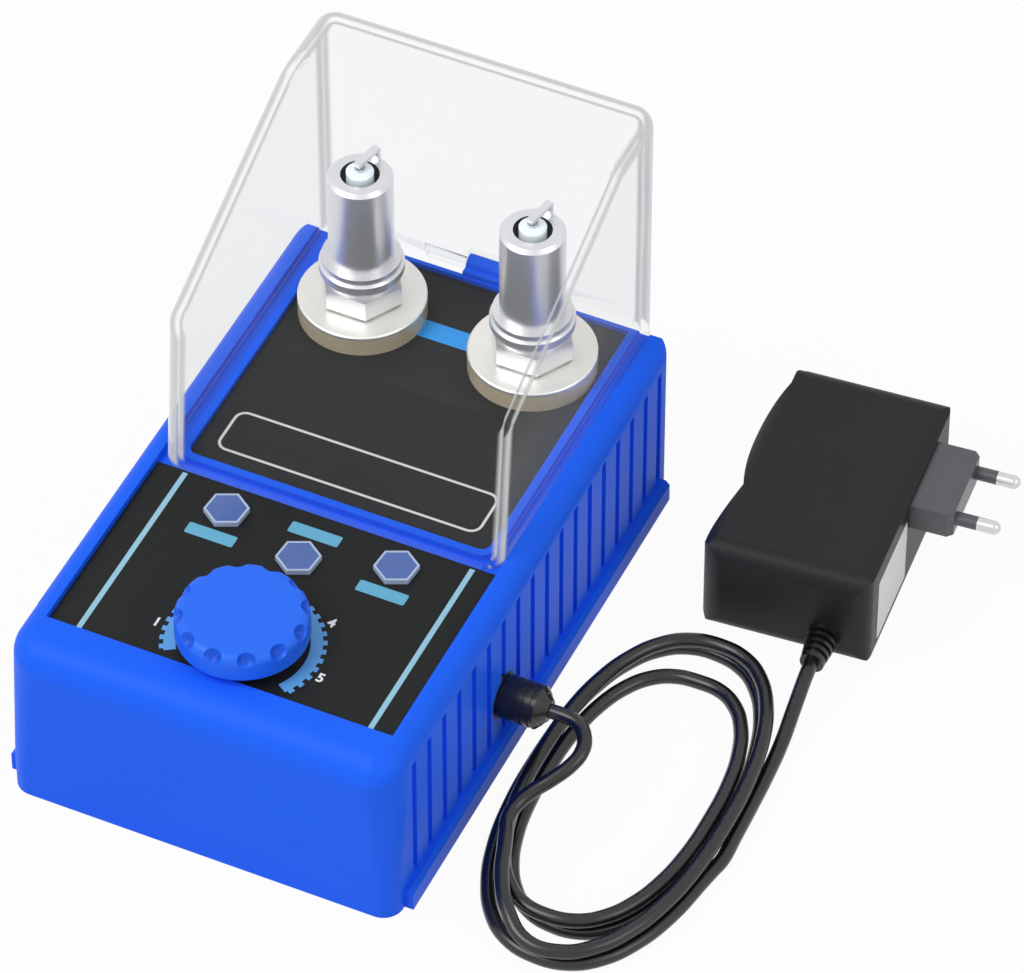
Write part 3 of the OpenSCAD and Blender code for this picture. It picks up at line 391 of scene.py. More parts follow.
leftSocketAt = (-19.8, 48.4, 0)
rightSocketAt = (19.8, 48.4, 0)
finishes = {
    "housing": plastic("housingBlue", (0.012, 0.126, 0.96), (0.017, 0.144, 1.0), rough=(0.36, 0.48),
                       Specular_IOR_Level=0.09),
    # the knob's dents take painted shade
    "knob": plastic("knobBlue", (0.014, 0.146, 0.93), (0.020, 0.168, 0.98), rough=(0.32, 0.44),
                    hollow=(0.005, 0.095, 0.68), Specular_IOR_Level=0.3),
    "panel": plastic("panelFilm", (0.013, 0.014, 0.014), (0.018, 0.019, 0.019), 2200, 30, (0.42, 0.56),
                     Specular_IOR_Level=0.14),
    "deck": plastic("deckFilm", (0.023, 0.023, 0.023), (0.029, 0.029, 0.029), 2200, 30, (0.46, 0.60),
                    Specular_IOR_Level=0.12),
    "bezel": plastic("bezelPale", (0.42, 0.52, 0.70), (0.48, 0.58, 0.76), 1800, 40, (0.25, 0.38)),
    "lens": plastic("lensBlue", (0.046, 0.112, 0.39), (0.060, 0.136, 0.44), 900, 120, (0.10, 0.18),
                    (0.1, 0.02), Coat_Weight=0.6),
    "led": plastic("ledWhite", (0.75, 0.76, 0.78), (0.80, 0.81, 0.82), rough=(0.2, 0.3)),
    "board": plastic("boardGreen", (0.010, 0.090, 0.030), (0.016, 0.120, 0.040), 800, 60, (0.3, 0.45)),
    "chip": plastic("partBlack", (0.012, 0.012, 0.013), (0.020, 0.020, 0.021), 1600, 50, (0.4, 0.6)),
    "wire": plastic("wireRed", (0.42, 0.012, 0.010), (0.50, 0.018, 0.014), 900, 60, (0.3, 0.42)),
    "insulator": plastic("amberResin", (0.58, 0.49, 0.32), (0.68, 0.59, 0.41), 700, 70, (0.24, 0.36),
                         (0.15, 0.03), Coat_Weight=0.3),
    # the ceramic's emission is a painted glow
    "ceramic": plastic("plugCeramicPaintedGlow", (0.86, 0.94, 0.98), (0.90, 0.96, 0.99), 600, 80, (0.10, 0.18),
                       (0.08, 0.02), Coat_Weight=0.4, Emission_Color=(0.80, 0.92, 1, 1),
                       Emission_Strength=0.2),
    "cord": plastic("cordBlack", (0.005, 0.005, 0.0052), (0.009, 0.009, 0.0092), 300, 60, (0.24, 0.30),
                    (0.04, 0.01), Specular_IOR_Level=0.6),
    "adapter": plastic("adapterBlack", (0.013, 0.013, 0.0145), (0.018, 0.018, 0.020), 1700, 25, (0.38, 0.5),
                       (0.18, 0.02), Specular_IOR_Level=0.2),
    "plugBlock": plastic("plugBlockGrey", (0.080, 0.078, 0.090), (0.095, 0.093, 0.106), 1700, 25,
                         (0.30, 0.42), (0.18, 0.02)),
    "winding": metal("windingCopper", (0.55, 0.23, 0.10), (0.66, 0.30, 0.14)),
    "screw": metal("screwSteel", (0.50, 0.50, 0.50), (0.62, 0.62, 0.61)),
    "brass": metal("contactBrass", (0.66, 0.48, 0.20), (0.74, 0.56, 0.26)),
    "pin": metal("pinMetal", (0.60, 0.60, 0.60), (0.72, 0.72, 0.71), rough=(0.16, 0.28)),
}
noseOut = 1.3      # how far the ceramic's nose stands out of the plug's shell
boreRadius = 4.2   # of the shell round the nose, inside which shade is painted
boreShadeTone = (0.045, 0.048, 0.052)
for side, at in (("left", leftSocketAt), ("right", rightSocketAt)):
    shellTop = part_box(side + "_plug_ceramic")[1][2] / mm - noseOut
    finishes[side + "Disc"] = metal(
        side + "DiscSteel", (0.87, 0.85, 0.80), (0.94, 0.92, 0.87), 3200, 60, (0.40, 0.52), centre=at,
        metallic=0.7)
    finishes[side + "Shell"] = metal(
        side + "PlugPlating", (0.74, 0.74, 0.75), (0.82, 0.82, 0.83), 1400, 60, (0.28, 0.36), (0.02, 0.01),
        centre=at, metallic=0.72, soot={"radius": boreRadius, "top": shellTop, "tone": boreShadeTone})
    finishes[side + "Core"] = metal(
        side + "PlugCore", (0.56, 0.58, 0.60), (0.66, 0.68, 0.70), 3000, 90, (0.2, 0.3), centre=at)

nodeFinishes = {
    "housing": ["base_cover"],
    "panel": ["control_label"],
    "deck": ["deck_label"],
    "bezel": ["indicator_bezels"],
    "lens": ["indicator_lenses"],
    "led": ["indicator_leds"],
    "board": ["control_board", "adapter_board"],
    "chip": ["board_parts", "pot_body", "ignition_coil", "dc_jack"],
    "wire": ["supply_leads", "hv_leads"],
    "insulator": ["left_socket", "right_socket"],
    "ceramic": ["left_plug_ceramic", "right_plug_ceramic"],
    "cord": ["dc_plug_grip", "strain_relief"],
    "adapter": ["adapter_back_shell", "adapter_pin_shell"],
    "plugBlock": ["adapter_plug_block"],
    "winding": ["adapter_transformer"],
    "screw": ["case_screws", "board_screws", "pot_shaft", "pot_nut", "socket_nuts"],
    "brass": ["contact_cups", "contact_nuts"],
    "pin": ["dc_plug_barrel", "adapter_pins"],
    "leftDisc": ["left_ground_disc"],
    "rightDisc": ["right_ground_disc"],
    "leftShell": ["left_plug_shell", "left_plug_gasket"],
    "rightShell": ["right_plug_shell", "right_plug_gasket"],
    "leftCore": ["left_plug_electrode", "left_plug_terminal"],
    "rightCore": ["right_plug_electrode", "right_plug_terminal"],
    "clear": ["hinge_pin"],
}
finishes["clear"] = clearPlastic(hoodFinish)
for finishName, names in nodeFinishes.items():
    for name in names:
        for holder in nodes[name].material_slots:
            holder.material = finishes[finishName]
print("finishes on", sum(len(v) for v in nodeFinishes.values()), "nodes")


# Cord from the low-voltage plug to the adapter, on the route of the solids

cordRoute = {
    "diameter": 3.2,
    "plugEnd": (54.6, -18.1, 16.3),
    "lead": [
        (61.3, -18.95, 16.25), (63.8, -21.45, 15.9), (64.75, -24.9, 15.2), (63.8, -28.4, 14.1),
        (61.4, -32, 12.6), (58.5, -35.5, 11), (56.6, -39.3, 9.8),
    ],
    "middle": (74, -20.5),
    "halfSize": (23.59, 50.26),
    "closer": (3.4, 9.5),
    "lean": 0.7,
    "lowerShift": 0.9,
    "squareness": 2.3,
    "layer": 3.8,
    "lowest": 1.65,
    "turnFrom": 222,
    "turnMid": 812,
    "turnTo": 1425,
    "entry": 48,
    "entryRise": 3.7,
    "entryOver": 1.05,
    "steps": 80,
    "tubeSteps": 5,
    "curveSteps": 5,
    "tail": [(97.9, -22, 1.7), (97.6, -13, 1.7), (97.2, -4, 1.8), (96.7, 5, 2.8), (95.85, 13.8, 5)],
    "adapterAt": (83.9, 61.7),
    "adapterTurn": 5,
    "reliefOut": [(7.7, -40.95, 7), (7.7, -37.75, 7)],
}


def onAdapter(point, route=cordRoute):
    turned = Matrix.Rotation(math.radians(route["adapterTurn"]), 3, "Z") @ Vector(point)
    return turned + Vector((*route["adapterAt"], 0))


def roundedSine(angle, squareness):
    wave = math.sin(math.radians(angle))
    return math.copysign(abs(wave) ** (2 / squareness), wave)


def coilPoint(angle, route):
    lift = max(0, (route["turnFrom"] + route["entry"] - angle) / route["entry"])
    drop = min(1, max(0, (angle - route["turnMid"] + 90) / 180))
    turnsIn = (route["turnTo"] - route["turnMid"] - abs(angle - route["turnMid"])) / 360
    turnsIn += route["entryOver"] * lift
    short, long = [half - turnsIn * step for half, step in zip(route["halfSize"], route["closer"])]
    return Vector((
        route["middle"][0] + short * roundedSine(angle + 90, route["squareness"]),
        route["middle"][1] - turnsIn * route["lean"] + route["lowerShift"] * drop
        + long * roundedSine(angle, route["squareness"]),
        route["lowest"] + route["layer"] * (1 - drop) + route["entryRise"] * lift * (2 - lift),
    ))


def cordPoints(route):
    size, steps = route["diameter"], route["steps"]
    span = route["turnTo"] - route["turnFrom"]
    turns = [coilPoint(route["turnFrom"] + span * i / steps, route) for i in range(steps + 1)]
    into = ((turns[1] - turns[0]) * Vector((1, 1, 0))).normalized()
    away = ((turns[-1] - turns[-2]) * Vector((1, 1, 0))).normalized()
    start = Vector(route["plugEnd"])
    points = [start, start + Vector((size, 0, 0))] + [Vector(p) for p in route["lead"]]
    points += [turns[0] - 2 * size * into, turns[0] - size * into] + turns
    points += [turns[-1] + size * away, turns[-1] + 2 * size * away]
    points += [Vector(p) for p in route["tail"]] + [onAdapter(p) for p in route["reliefOut"]]
    return [p * mm for p in points]


def makeCord(route):
    points = cordPoints(route)
    curve = bpy.data.curves.new("lowVoltageCord", "CURVE")
    curve.dimensions = "3D"
    curve.bevel_depth = route["diameter"] / 2 * mm
    curve.bevel_resolution = route["tubeSteps"]
    curve.resolution_u = route["curveSteps"]
    curve.use_fill_caps = True
    spline = curve.splines.new("BEZIER")
    spline.bezier_points.add(len(points) - 1)
    for knot, point in zip(spline.bezier_points, points):
        knot.co = point
        knot.handle_left_type = knot.handle_right_type = "AUTO"
    curve.materials.append(finishes["cord"])
    cord = linkPiece("lowVoltageCord", curve)
    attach(cord, "tester")
    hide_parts("plug_lead", "cord_coil", "adapter_lead")
    length = sum((b - a).length for a, b in zip(points, points[1:]))
    print("cord length about", round(length, 3), "m")


makeCord(cordRoute)


# Housing: the moulded shell with its two front corners blended

frontCorners = {
    "halfWidth": 44.0,
    "front": -71.0,
    "top": 43.4,
    "foot": 8.0,
    "uprightFoot": 4.5,    # rounding of the upright edge at the foot and at the rim
    "uprightTop": 8.4,
    "frontRound": 7.0,
    "sideRound": 5.0,
    "clear": 0.03,         # the blending block stays this far off the flat faces
    "reach": 40.0,
    "steps": 14,
    "rimSteps": 12,
    "near": 0.1,           # for picking points and edges by their place
    "boxIn": 16.0,         # the boxes that are cut away, from each corner inwards and outwards
    "boxOut": 6.0,
    "boxUp": 1.0,          # and up from the foot
    "crease": 32,
}


def makeCornerBlock(shape):
    # the form that the corners are cut back to
    bm = bmesh.new()
    w = shape["halfWidth"] + shape["clear"]
    front = shape["front"] - shape["clear"]
    back = front + shape["reach"]
    top = shape["top"] + shape["clear"]
    plan = ((-w, front), (w, front), (w, back), (-w, back))
    verts = [bm.verts.new(place(x, y, shape["foot"])) for x, y in plan]
    bm.faces.new(verts)
    foot = shape["uprightFoot"] + shape["clear"]
    bmesh.ops.bevel(
        bm, geom=verts[:2], offset=foot * mm, segments=shape["steps"], profile=0.5, affect="VERTICES",
        material=-1)
    grown = bmesh.ops.extrude_face_region(bm, geom=bm.faces[:])
    for vert in newVerts(grown):
        vert.co.z = top * mm
        if vert.co.y < (front + foot + shape["near"]) * mm:
            corner = place(math.copysign(w, vert.co.x), front, top)
            vert.co = corner + (vert.co - corner) * shape["uprightTop"] / foot
    bmesh.ops.recalc_face_normals(bm, faces=bm.faces)
    # the rim's rounding runs from the front's to the sides'
    weight = bm.edges.layers.float.new("bevel_weight_edge")
    for edge in bm.edges:
        ends = [v.co for v in edge.verts]
        atTop = min(e.z for e in ends) > (top - shape["near"]) * mm
        atBack = min(e.y for e in ends) > (back - shape["near"]) * mm
        if atTop and not atBack:
            run = ends[1] - ends[0]
            turn = math.atan2(abs(run.y), abs(run.x)) / (math.pi / 2)
            edge[weight] = 1 + turn * (shape["sideRound"] / shape["frontRound"] - 1)
    block = meshPiece("cornerBlock", bm, finishes["housing"])
    rim = block.modifiers.new("rim", "BEVEL")
    rim.width = shape["frontRound"] * mm
    rim.segments = shape["rimSteps"]
    rim.limit_method = "WEIGHT"
    return settle(block)


def softenEdges(piece, crease):
    # edges flatter than the crease angle shade smoothly
    bm = bmesh.new()
    bm.from_mesh(piece.data)
    mergeDoubles(bm)
    for edge in bm.edges:
        edge.smooth = edge.calc_face_angle(0) < math.radians(crease)
    for face in bm.faces:
        face.smooth = True
    bm.to_mesh(piece.data)
    bm.free()
    evenNormals(piece)


def makeHousing(shape):
    block = makeCornerBlock(shape)
    bm = bmesh.new()
    bm.from_mesh(nodes["upper_housing"].data)
    mergeDoubles(bm)
    housing = meshPiece("housingShell", bm, finishes["housing"])
    tools = [block]
    size = shape["boxIn"] + shape["boxOut"]
    inwards = (shape["boxIn"] - shape["boxOut"]) / 2
    low = shape["foot"] + shape["boxUp"]
    height = shape["top"] + shape["boxOut"] - low
    for sign in (-1, 1):
        bm = bmesh.new()
        middle = place(sign * (shape["halfWidth"] - inwards), shape["front"] + inwards, low + height / 2)
        bmesh.ops.create_cube(
            bm, size=1, matrix=Matrix.Translation(middle) @ Matrix.Diagonal((*place(size, size, height), 1)))
        cutter = meshPiece("cutter" + str(sign), bm, finishes["housing"], smooth=False)
        addBoolean(cutter, block, "DIFFERENCE")
        settle(cutter)
        addBoolean(housing, cutter, "DIFFERENCE")
        tools.append(cutter)
    settle(housing)
    dropTools(tools)
    softenEdges(housing, shape["crease"])
    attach(housing, "tester")
    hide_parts("upper_housing")
    print("housing has", len(housing.data.polygons), "faces")


makeHousing(frontCorners)


# Rate knob with finger dents along its rim

knobShape = {
    "axisY": -48.6,
    "radius": 13.9,
    "rimRound": 2.2,
    "rimSteps": 8,
    "skirtRadius": 10.5,
    "skirtHeight": 2.5,
    "nutRoom": (8.4, 3.5),   # radius, height above the skirt's foot
    "bore": (3.05, 1.5),     # radius, thickness of the cap above it
    "footRound": 0.5,
    "footSteps": 3,
    "dents": 12,
    "dentRadius": 2.15,
    "dentOut": 14.0,
    "dentDown": 0.4,
    "dentSteps": (32, 20),
    "dentShade": 0.9,        # depth at which a dent has its full painted shade
    "dentStart": 0.05,       # share of that depth with no shade yet
    "steps": 96,
    "crease": 50,
}


def markDents(knob, shape, gripFoot, top):
    # a value on each point: its depth below the round outer form, by which shade is painted into the dents
    r, e = shape["radius"], shape["rimRound"]
    hollow = knob.data.attributes.new("hollow", "FLOAT", "POINT")
    for vert, value in zip(knob.data.vertices, hollow.data):
        x, y, z = vert.co / mm
        out = math.hypot(x, y - shape["axisY"])
        depth = e - math.hypot(max(0, out - (r - e)), max(0, z - (top - e)))
        if out > shape["skirtRadius"] and z > gripFoot + shape["footRound"]:
            value.value = min(1, max(0, depth / shape["dentShade"] - shape["dentStart"]))


def makeKnob(shape):
    low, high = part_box("control_knob")
    foot, top = low[2] / mm, high[2] / mm
    r = shape["radius"]
    gripFoot = foot + shape["skirtHeight"]
    roomRadius, roomHeight = shape["nutRoom"]
    shaftRadius, cap = shape["bore"]
    room = foot + roomHeight
    skirt = shape["skirtRadius"]
    outline = (
        (0, top - cap), (shaftRadius, top - cap), (shaftRadius, room), (roomRadius, room), (roomRadius, foot),
        (skirt, foot), (skirt, gripFoot), (r, gripFoot), (r, top), (0, top))
    bm = bmesh.new()
    verts = [bm.verts.new(place(x, shape["axisY"], z)) for x, z in outline]
    edges = [bm.edges.new(pair) for pair in zip(verts, verts[1:])]
    bmesh.ops.spin(
        bm, geom=verts + edges, cent=place(0, shape["axisY"], 0), axis=(0, 0, 1), angle=math.tau,
        steps=shape["steps"], use_merge=True)
    mergeDoubles(bm)
    bmesh.ops.recalc_face_normals(bm, faces=bm.faces)
    rounds = (
        (top, shape["rimRound"], shape["rimSteps"]),
        (gripFoot, shape["footRound"], shape["footSteps"]),
    )
    for z, width, segments in rounds:
        ring = []
        for edge in bm.edges:
            ends = [v.co - place(0, shape["axisY"], z) for v in edge.verts]
            if all(abs(e.z) < weld and abs(e.length - r * mm) < pick for e in ends):
                ring.append(edge)
        bmesh.ops.bevel(
            bm, geom=ring, offset=width * mm, segments=segments, profile=0.5, affect="EDGES", material=-1)
    knob = meshPiece("knobGrip", bm, finishes["knob"])
    bm = bmesh.new()
    around, upward = shape["dentSteps"]
    for i in range(shape["dents"]):
        turn = math.tau * i / shape["dents"]
        at = place(
            shape["dentOut"] * math.cos(turn), shape["axisY"] + shape["dentOut"] * math.sin(turn),
            top - shape["dentDown"])
        bmesh.ops.create_uvsphere(
            bm, u_segments=around, v_segments=upward, radius=shape["dentRadius"] * mm,
            matrix=Matrix.Translation(at))
    dents = meshPiece("knobDents", bm, finishes["knob"])
    addBoolean(knob, dents, "DIFFERENCE")
    settle(knob)
    dropTools([dents])
    softenEdges(knob, shape["crease"])
    markDents(knob, shape, gripFoot, top)
    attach(knob, "knob")
    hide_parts("control_knob")
    print("knob has", len(knob.data.polygons), "faces")


makeKnob(knobShape)


# Clear hinged hood

hoodShape = {
    "halfWidth": 38.6,
    "side": [(-9.8, 41.8), (-6.3, 80.6), (50, 105.6), (71, 105.6), (71, 41.8)],
    "startLower": 4.0,     # the walls start this much lower, and are cut off level at the foot
    "wall": 2.0,
    "round": 5.0,
    "roundSteps": 12,
    "rearFoot": 42.6,
    "rearFootHalf": 33.6,
    "notchHalf": 5.0,
    "notchTop": 46.6,
    "hinge": (69.2, 44.2),
    "earFrom": 5.0,
    "earTo": 14.0,
    "earRadius": 1.8,
    "boreRadius": 0.85,
    "boreOut": 1.0,
    "rimRound": 0.35,
    "rimSteps": 3,
    "rimAngle": 50,
    "footGlint": 1.2,
    "footBand": 0.3,
    # the painted edge line's level along the foot
    "footGlintLevel": 0.3,
    "margin": 0.5,         # round the hinge and the rear foot, which stay clear
    "roundFrom": 0.998,    # a point is on a rounding where its normal leaves the walls' by these cosines
    "roundSpan": 0.018,
}


def markEdges(hood, shape):
    # a value on each point for the painted edge line and glow: 1 on the rounded edges, a little along the
    # foot, 0 on the flat walls
    side, margin = shape["side"], shape["margin"]
    walls = [Vector((1, 0, 0))]
    for (y0, z0), (y1, z1) in zip(side, side[1:]):
        walls.append(Vector((0, z0 - z1, y1 - y0)).normalized())
    rearFrom = shape["hinge"][0] - 2 * shape["earRadius"]
    glint = hood.data.attributes.new("glint", "FLOAT", "POINT")
    for vert, value in zip(hood.data.vertices, glint.data):
        flat = max(abs(vert.normal.dot(wall)) for wall in walls)
        value.value = min(1, max(0, (shape["roundFrom"] - flat) / shape["roundSpan"]))
        x, y, z = vert.co / mm
        if z < side[0][1] + shape["footBand"]:
            value.value = shape["footGlintLevel"]
        # the hinge's ears and notch stay clear, and so does the rear wall's raised foot
        atHinge = abs(x) < shape["earTo"] + margin and z < shape["notchTop"] + 2 * margin
        atFoot = abs(x) < shape["rearFootHalf"] + margin and z < shape["rearFoot"] + margin
        if y > rearFrom and (atHinge or atFoot):
            value.value = 0


def rod(name, radius, x0, x1, at, sides=32):
    bm = bmesh.new()
    turn = Matrix.Translation(place((x0 + x1) / 2, *at)) @ Matrix.Rotation(math.radians(90), 4, "Y")
    bmesh.ops.create_cone(
        bm, cap_ends=True, segments=sides, radius1=radius * mm, radius2=radius * mm,
        depth=(x1 - x0) * mm, matrix=turn)
    mesh = bpy.data.meshes.new(name)
    bm.to_mesh(mesh)
    bm.free()
    return linkPiece(name, mesh)


def cutFaces(bm, faces, point, normal):
    parts = set(faces)
    for face in faces:
        parts.update(face.edges)
        parts.update(face.verts)
    bmesh.ops.bisect_plane(bm, geom=list(parts), dist=weld / 10, plane_co=point, plane_no=normal)


def rearFaces(bm, rearY):
    bm.faces.ensure_lookup_table()
    return [f for f in bm.faces if abs(f.calc_center_median().y - rearY) < pick]


def makeHood(shape):
    bm = bmesh.new()
    w, drop = shape["halfWidth"], shape["startLower"]
    side = [list(p) for p in shape["side"]]
    lean = (side[1][0] - side[0][0]) / (side[1][1] - side[0][1])
    side[0] = [side[0][0] - drop * lean, side[0][1] - drop]
    side[-1] = [side[-1][0], side[-1][1] - drop]
    first = bm.faces.new([bm.verts.new(place(-w, y, z)) for y, z in side])
    grown = bmesh.ops.extrude_face_region(bm, geom=[first])
    bmesh.ops.translate(bm, verts=newVerts(grown), vec=place(2 * w, 0, 0))
    bmesh.ops.recalc_face_normals(bm, faces=bm.faces)
    bm.normal_update()
    under = min(bm.faces, key=lambda f: f.normal.z)
    bmesh.ops.delete(bm, geom=[under], context="FACES_ONLY")
    bmesh.ops.bevel(
        bm, geom=[e for e in bm.edges if not e.is_boundary], offset=shape["round"] * mm,
        segments=shape["roundSteps"], profile=0.5, affect="EDGES", material=-1)
    foot = shape["side"][0][1]
    bmesh.ops.bisect_plane(
        bm, geom=bm.verts[:] + bm.edges[:] + bm.faces[:], plane_co=place(0, 0, foot), plane_no=(0, 0, 1),
        clear_inner=True)
    bmesh.ops.bisect_plane(
        bm, geom=bm.verts[:] + bm.edges[:] + bm.faces[:], plane_co=place(0, 0, foot + shape["footGlint"]),
        plane_no=(0, 0, 1))
    # raised foot and hinge notch in the rear wall
    rearY = shape["side"][-1][0] * mm
    for half, top in ((shape["rearFootHalf"], shape["rearFoot"]), (shape["notchHalf"], shape["notchTop"])):
        for x in (-half, half):
            cutFaces(bm, rearFaces(bm, rearY), place(x, 0, 0), (1, 0, 0))
        cutFaces(bm, rearFaces(bm, rearY), place(0, 0, top), (0, 0, 1))
        gone = []
        for face in rearFaces(bm, rearY):
            middle = face.calc_center_median()
            if abs(middle.x) < half * mm and middle.z < top * mm:
                gone.append(face)
        bmesh.ops.delete(bm, geom=gone, context="FACES")
    hood = meshPiece("clearHood", bm, finishes["clear"])
    walls = hood.modifiers.new("walls", "SOLIDIFY")
    walls.thickness = shape["wall"] * mm
    walls.offset = -1
    walls.use_even_offset = True
    walls.use_quality_normals = True
    at = shape["hinge"]
    tools = []
    for number, sign in enumerate((-1, 1)):
        x0, x1 = sorted((sign * shape["earFrom"], sign * shape["earTo"]))
        ear = rod("ear" + str(number), shape["earRadius"], x0, x1, at)
        addBoolean(hood, ear, "UNION")
        tools.append(ear)
    boreEnd = shape["earTo"] + shape["boreOut"]
    bore = rod("bore", shape["boreRadius"], -boreEnd, boreEnd, at)
    addBoolean(hood, bore, "DIFFERENCE")
    tools.append(bore)
    rim = hood.modifiers.new("rim", "BEVEL")
    rim.width = shape["rimRound"] * mm
    rim.segments = shape["rimSteps"]
    rim.limit_method = "ANGLE"
    rim.angle_limit = math.radians(shape["rimAngle"])
    settle(hood)
    dropTools(tools)
    markEdges(hood, shape)
    evenNormals(hood)
    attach(hood, "cover")
    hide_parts("clear_cover")
    print("hood has", len(hood.data.polygons), "faces")


makeHood(hoodShape)


# Printing on the panel and the deck: thin films on top of the two labels

labelTop = 42.0
filmThickness = 0.05
filmSteps = 5   # in a rounded corner


def startFilm(x0, x1, y0, y1, corner):
    # a flat rounded plate
    bm = bmesh.new()
    corners = [(x0, y0), (x1, y0), (x1, y1), (x0, y1)]
    bm.faces.new([bm.verts.new(place(x, y, labelTop)) for x, y in corners])
    if corner:
        bmesh.ops.bevel(
            bm, geom=bm.verts[:], offset=corner * mm, segments=filmSteps, profile=0.5, affect="VERTICES",
            material=-1)
    return bm


def raiseFilm(bm):
    bm.normal_update()
    grown = bmesh.ops.extrude_face_region(bm, geom=bm.faces[:])
    bmesh.ops.translate(bm, verts=newVerts(grown), vec=place(0, 0, filmThickness))


def addTo(whole, part):
    mesh = bpy.data.meshes.new("film")
    part.to_mesh(mesh)
    part.free()
    whole.from_mesh(mesh)
    bpy.data.meshes.remove(mesh)


def printedPiece(name, bm, finish):
    piece = meshPiece(name, bm, finish, smooth=False)
    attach(piece, "tester")


def ink(name, shade, tint, rough=(0.38, 0.5)):
    return plastic(name, shade, tint, grain=2600, cloud=40, rough=rough)


inks = {
    "paleBlue": ink("inkPaleBlue", (0.280, 0.550, 0.710), (0.330, 0.610, 0.760)),
    "dialBlue": ink("inkDialBlue", (0.115, 0.400, 0.840), (0.140, 0.450, 0.900)),
    "plateBlue": ink("inkPlateBlue", (0.115, 0.410, 0.610), (0.140, 0.460, 0.670)),
    "midBlue": ink("inkMidBlue", (0.018, 0.350, 0.950), (0.024, 0.390, 1.000)),
    "numberWhite": ink("inkNumberWhite", (0.92, 0.92, 0.91), (0.96, 0.96, 0.95), (0.4, 0.52)),
    "white": ink("inkWhite", (0.74, 0.74, 0.73), (0.80, 0.80, 0.79), (0.4, 0.52)),
}

panelPrint = {
    "stripes": [(-32.75, -31.6), (32.95, 34.1)],
    "stripeEnds": (-59.6, -10.6),
    "plates": [(-25.0, -14.0, -25.8, -22.7), (14.0, 25.0, -25.8, -22.7), (-5.8, 5.6, -16.7, -13.6)],
    "plateCorner": 0.4,
}


def makePanelPrint(design):
    bm = bmesh.new()
    for x0, x1 in design["stripes"]:
        film = startFilm(x0, x1, *design["stripeEnds"], 0)
        raiseFilm(film)
        addTo(bm, film)
    printedPiece("panelStripes", bm, inks["paleBlue"])
    bm = bmesh.new()
    for box in design["plates"]:
        film = startFilm(*box, design["plateCorner"])
        raiseFilm(film)
        addTo(bm, film)
    printedPiece("lampPlates", bm, inks["plateBlue"])


makePanelPrint(panelPrint)

dialPrint = {
    "axis": (0, -48.6),
    "inner": 13.7,
    "outer": 16.2,
    "toothOut": 0.9,
    "teeth": 28,
    "toothSteps": 4,       # the middle two of each four steps stand out
    "rimSlack": 0.05,
    "halfSweep": 122.5,
    "numbers": ["1", "2", "3", "4", "5"],
    "numberSweep": 97,
    "numberRadius": 18.6,
    "numberSize": 3.3,
    "numberBold": 0.09,
    "numberSteps": 4,
}


def makeDial(design):
    bm = bmesh.new()
    axis = place(*design["axis"], labelTop)
    start = math.radians(90 - design["halfSweep"])
    sweep = math.radians(2 * design["halfSweep"])
    steps = design["toothSteps"] * design["teeth"]
    ends = []
    for radius in (design["inner"], design["outer"]):
        way = Vector((math.cos(start), math.sin(start), 0))
        ends.append(bm.verts.new(axis + way * radius * mm))
    edge = bm.edges.new(ends)
    bmesh.ops.spin(bm, geom=[edge, *ends], cent=axis, axis=(0, 0, 1), angle=sweep, steps=steps)
    rimReach = (design["outer"] - design["rimSlack"]) * mm
    rim = []
    for edge in bm.edges:
        if min((v.co - axis).length for v in edge.verts) > rimReach:
            middle = (edge.verts[0].co + edge.verts[1].co) / 2 - axis
            turn = (math.atan2(middle.y, middle.x) - start) % math.tau
            if int(turn / sweep * steps) % design["toothSteps"] in (1, 2):
                rim.append(edge)
    grown = bmesh.ops.extrude_edge_only(bm, edges=rim)
    stretch = (design["outer"] + design["toothOut"]) / design["outer"]
    bmesh.ops.scale(
        bm, verts=newVerts(grown), vec=(stretch, stretch, 1), space=Matrix.Translation(-axis))
    bmesh.ops.recalc_face_normals(bm, faces=bm.faces)
    raiseFilm(bm)
    printedPiece("dialRing", bm, inks["dialBlue"])
    numbers = bmesh.new()
    count = len(design["numbers"])
    for i, label in enumerate(design["numbers"]):
        text = bpy.data.curves.new("number", "FONT")
        text.body = label
        text.size = design["numberSize"] * mm
        text.align_x = "CENTER"
        text.align_y = "CENTER"
        text.extrude = filmThickness / 2 * mm
        text.offset = design["numberBold"] * mm
        text.resolution_u = design["numberSteps"]
        holder = linkPiece("number", text)
        mesh = settled(holder)
        bpy.data.objects.remove(holder)
        bpy.data.curves.remove(text)
        turn = math.radians(design["numberSweep"] * (2 * i / (count - 1) - 1))
        at = place(*design["axis"], labelTop + filmThickness / 2)
        at += Vector((math.sin(turn), math.cos(turn), 0)) * design["numberRadius"] * mm
        mesh.transform(Matrix.Translation(at))
        numbers.from_mesh(mesh)
        bpy.data.meshes.remove(mesh)
    bmesh.ops.remove_doubles(numbers, verts=numbers.verts, dist=weld / 10)
    printedPiece("dialNumbers", numbers, inks["numberWhite"])


makeDial(dialPrint)

deckPrint = {
    "frame": (-30.3, 30.3, -1.3, 10.8),
    "frameCorner": 2.6,
    "frameLine": 0.6,
    "plate": (-8.0, 8.0, 46.3, 51.3),
    "plateCorner": 0.3,
}


def makeDeckPrint(design):
    bm = startFilm(*design["frame"], design["frameCorner"])
    bmesh.ops.inset_region(
        bm, faces=bm.faces[:], thickness=design["frameLine"] * mm, use_even_offset=True, use_boundary=True)
    inner = max(bm.faces, key=lambda f: f.calc_area())
    bmesh.ops.delete(bm, geom=[inner], context="FACES_ONLY")
    raiseFilm(bm)
    printedPiece("deckFrame", bm, inks["white"])
    bm = startFilm(*design["plate"], design["plateCorner"])
    raiseFilm(bm)
    printedPiece("deckPlate", bm, inks["midBlue"])


makeDeckPrint(deckPrint)

adapterLabel = {
    "face": 17.2,
    "along": (-22.6, -3.2),
    "up": (2.4, 19.4),
    "corner": 0.8,
    "cornerSteps": 4,
    "thickness": 0.06,
}


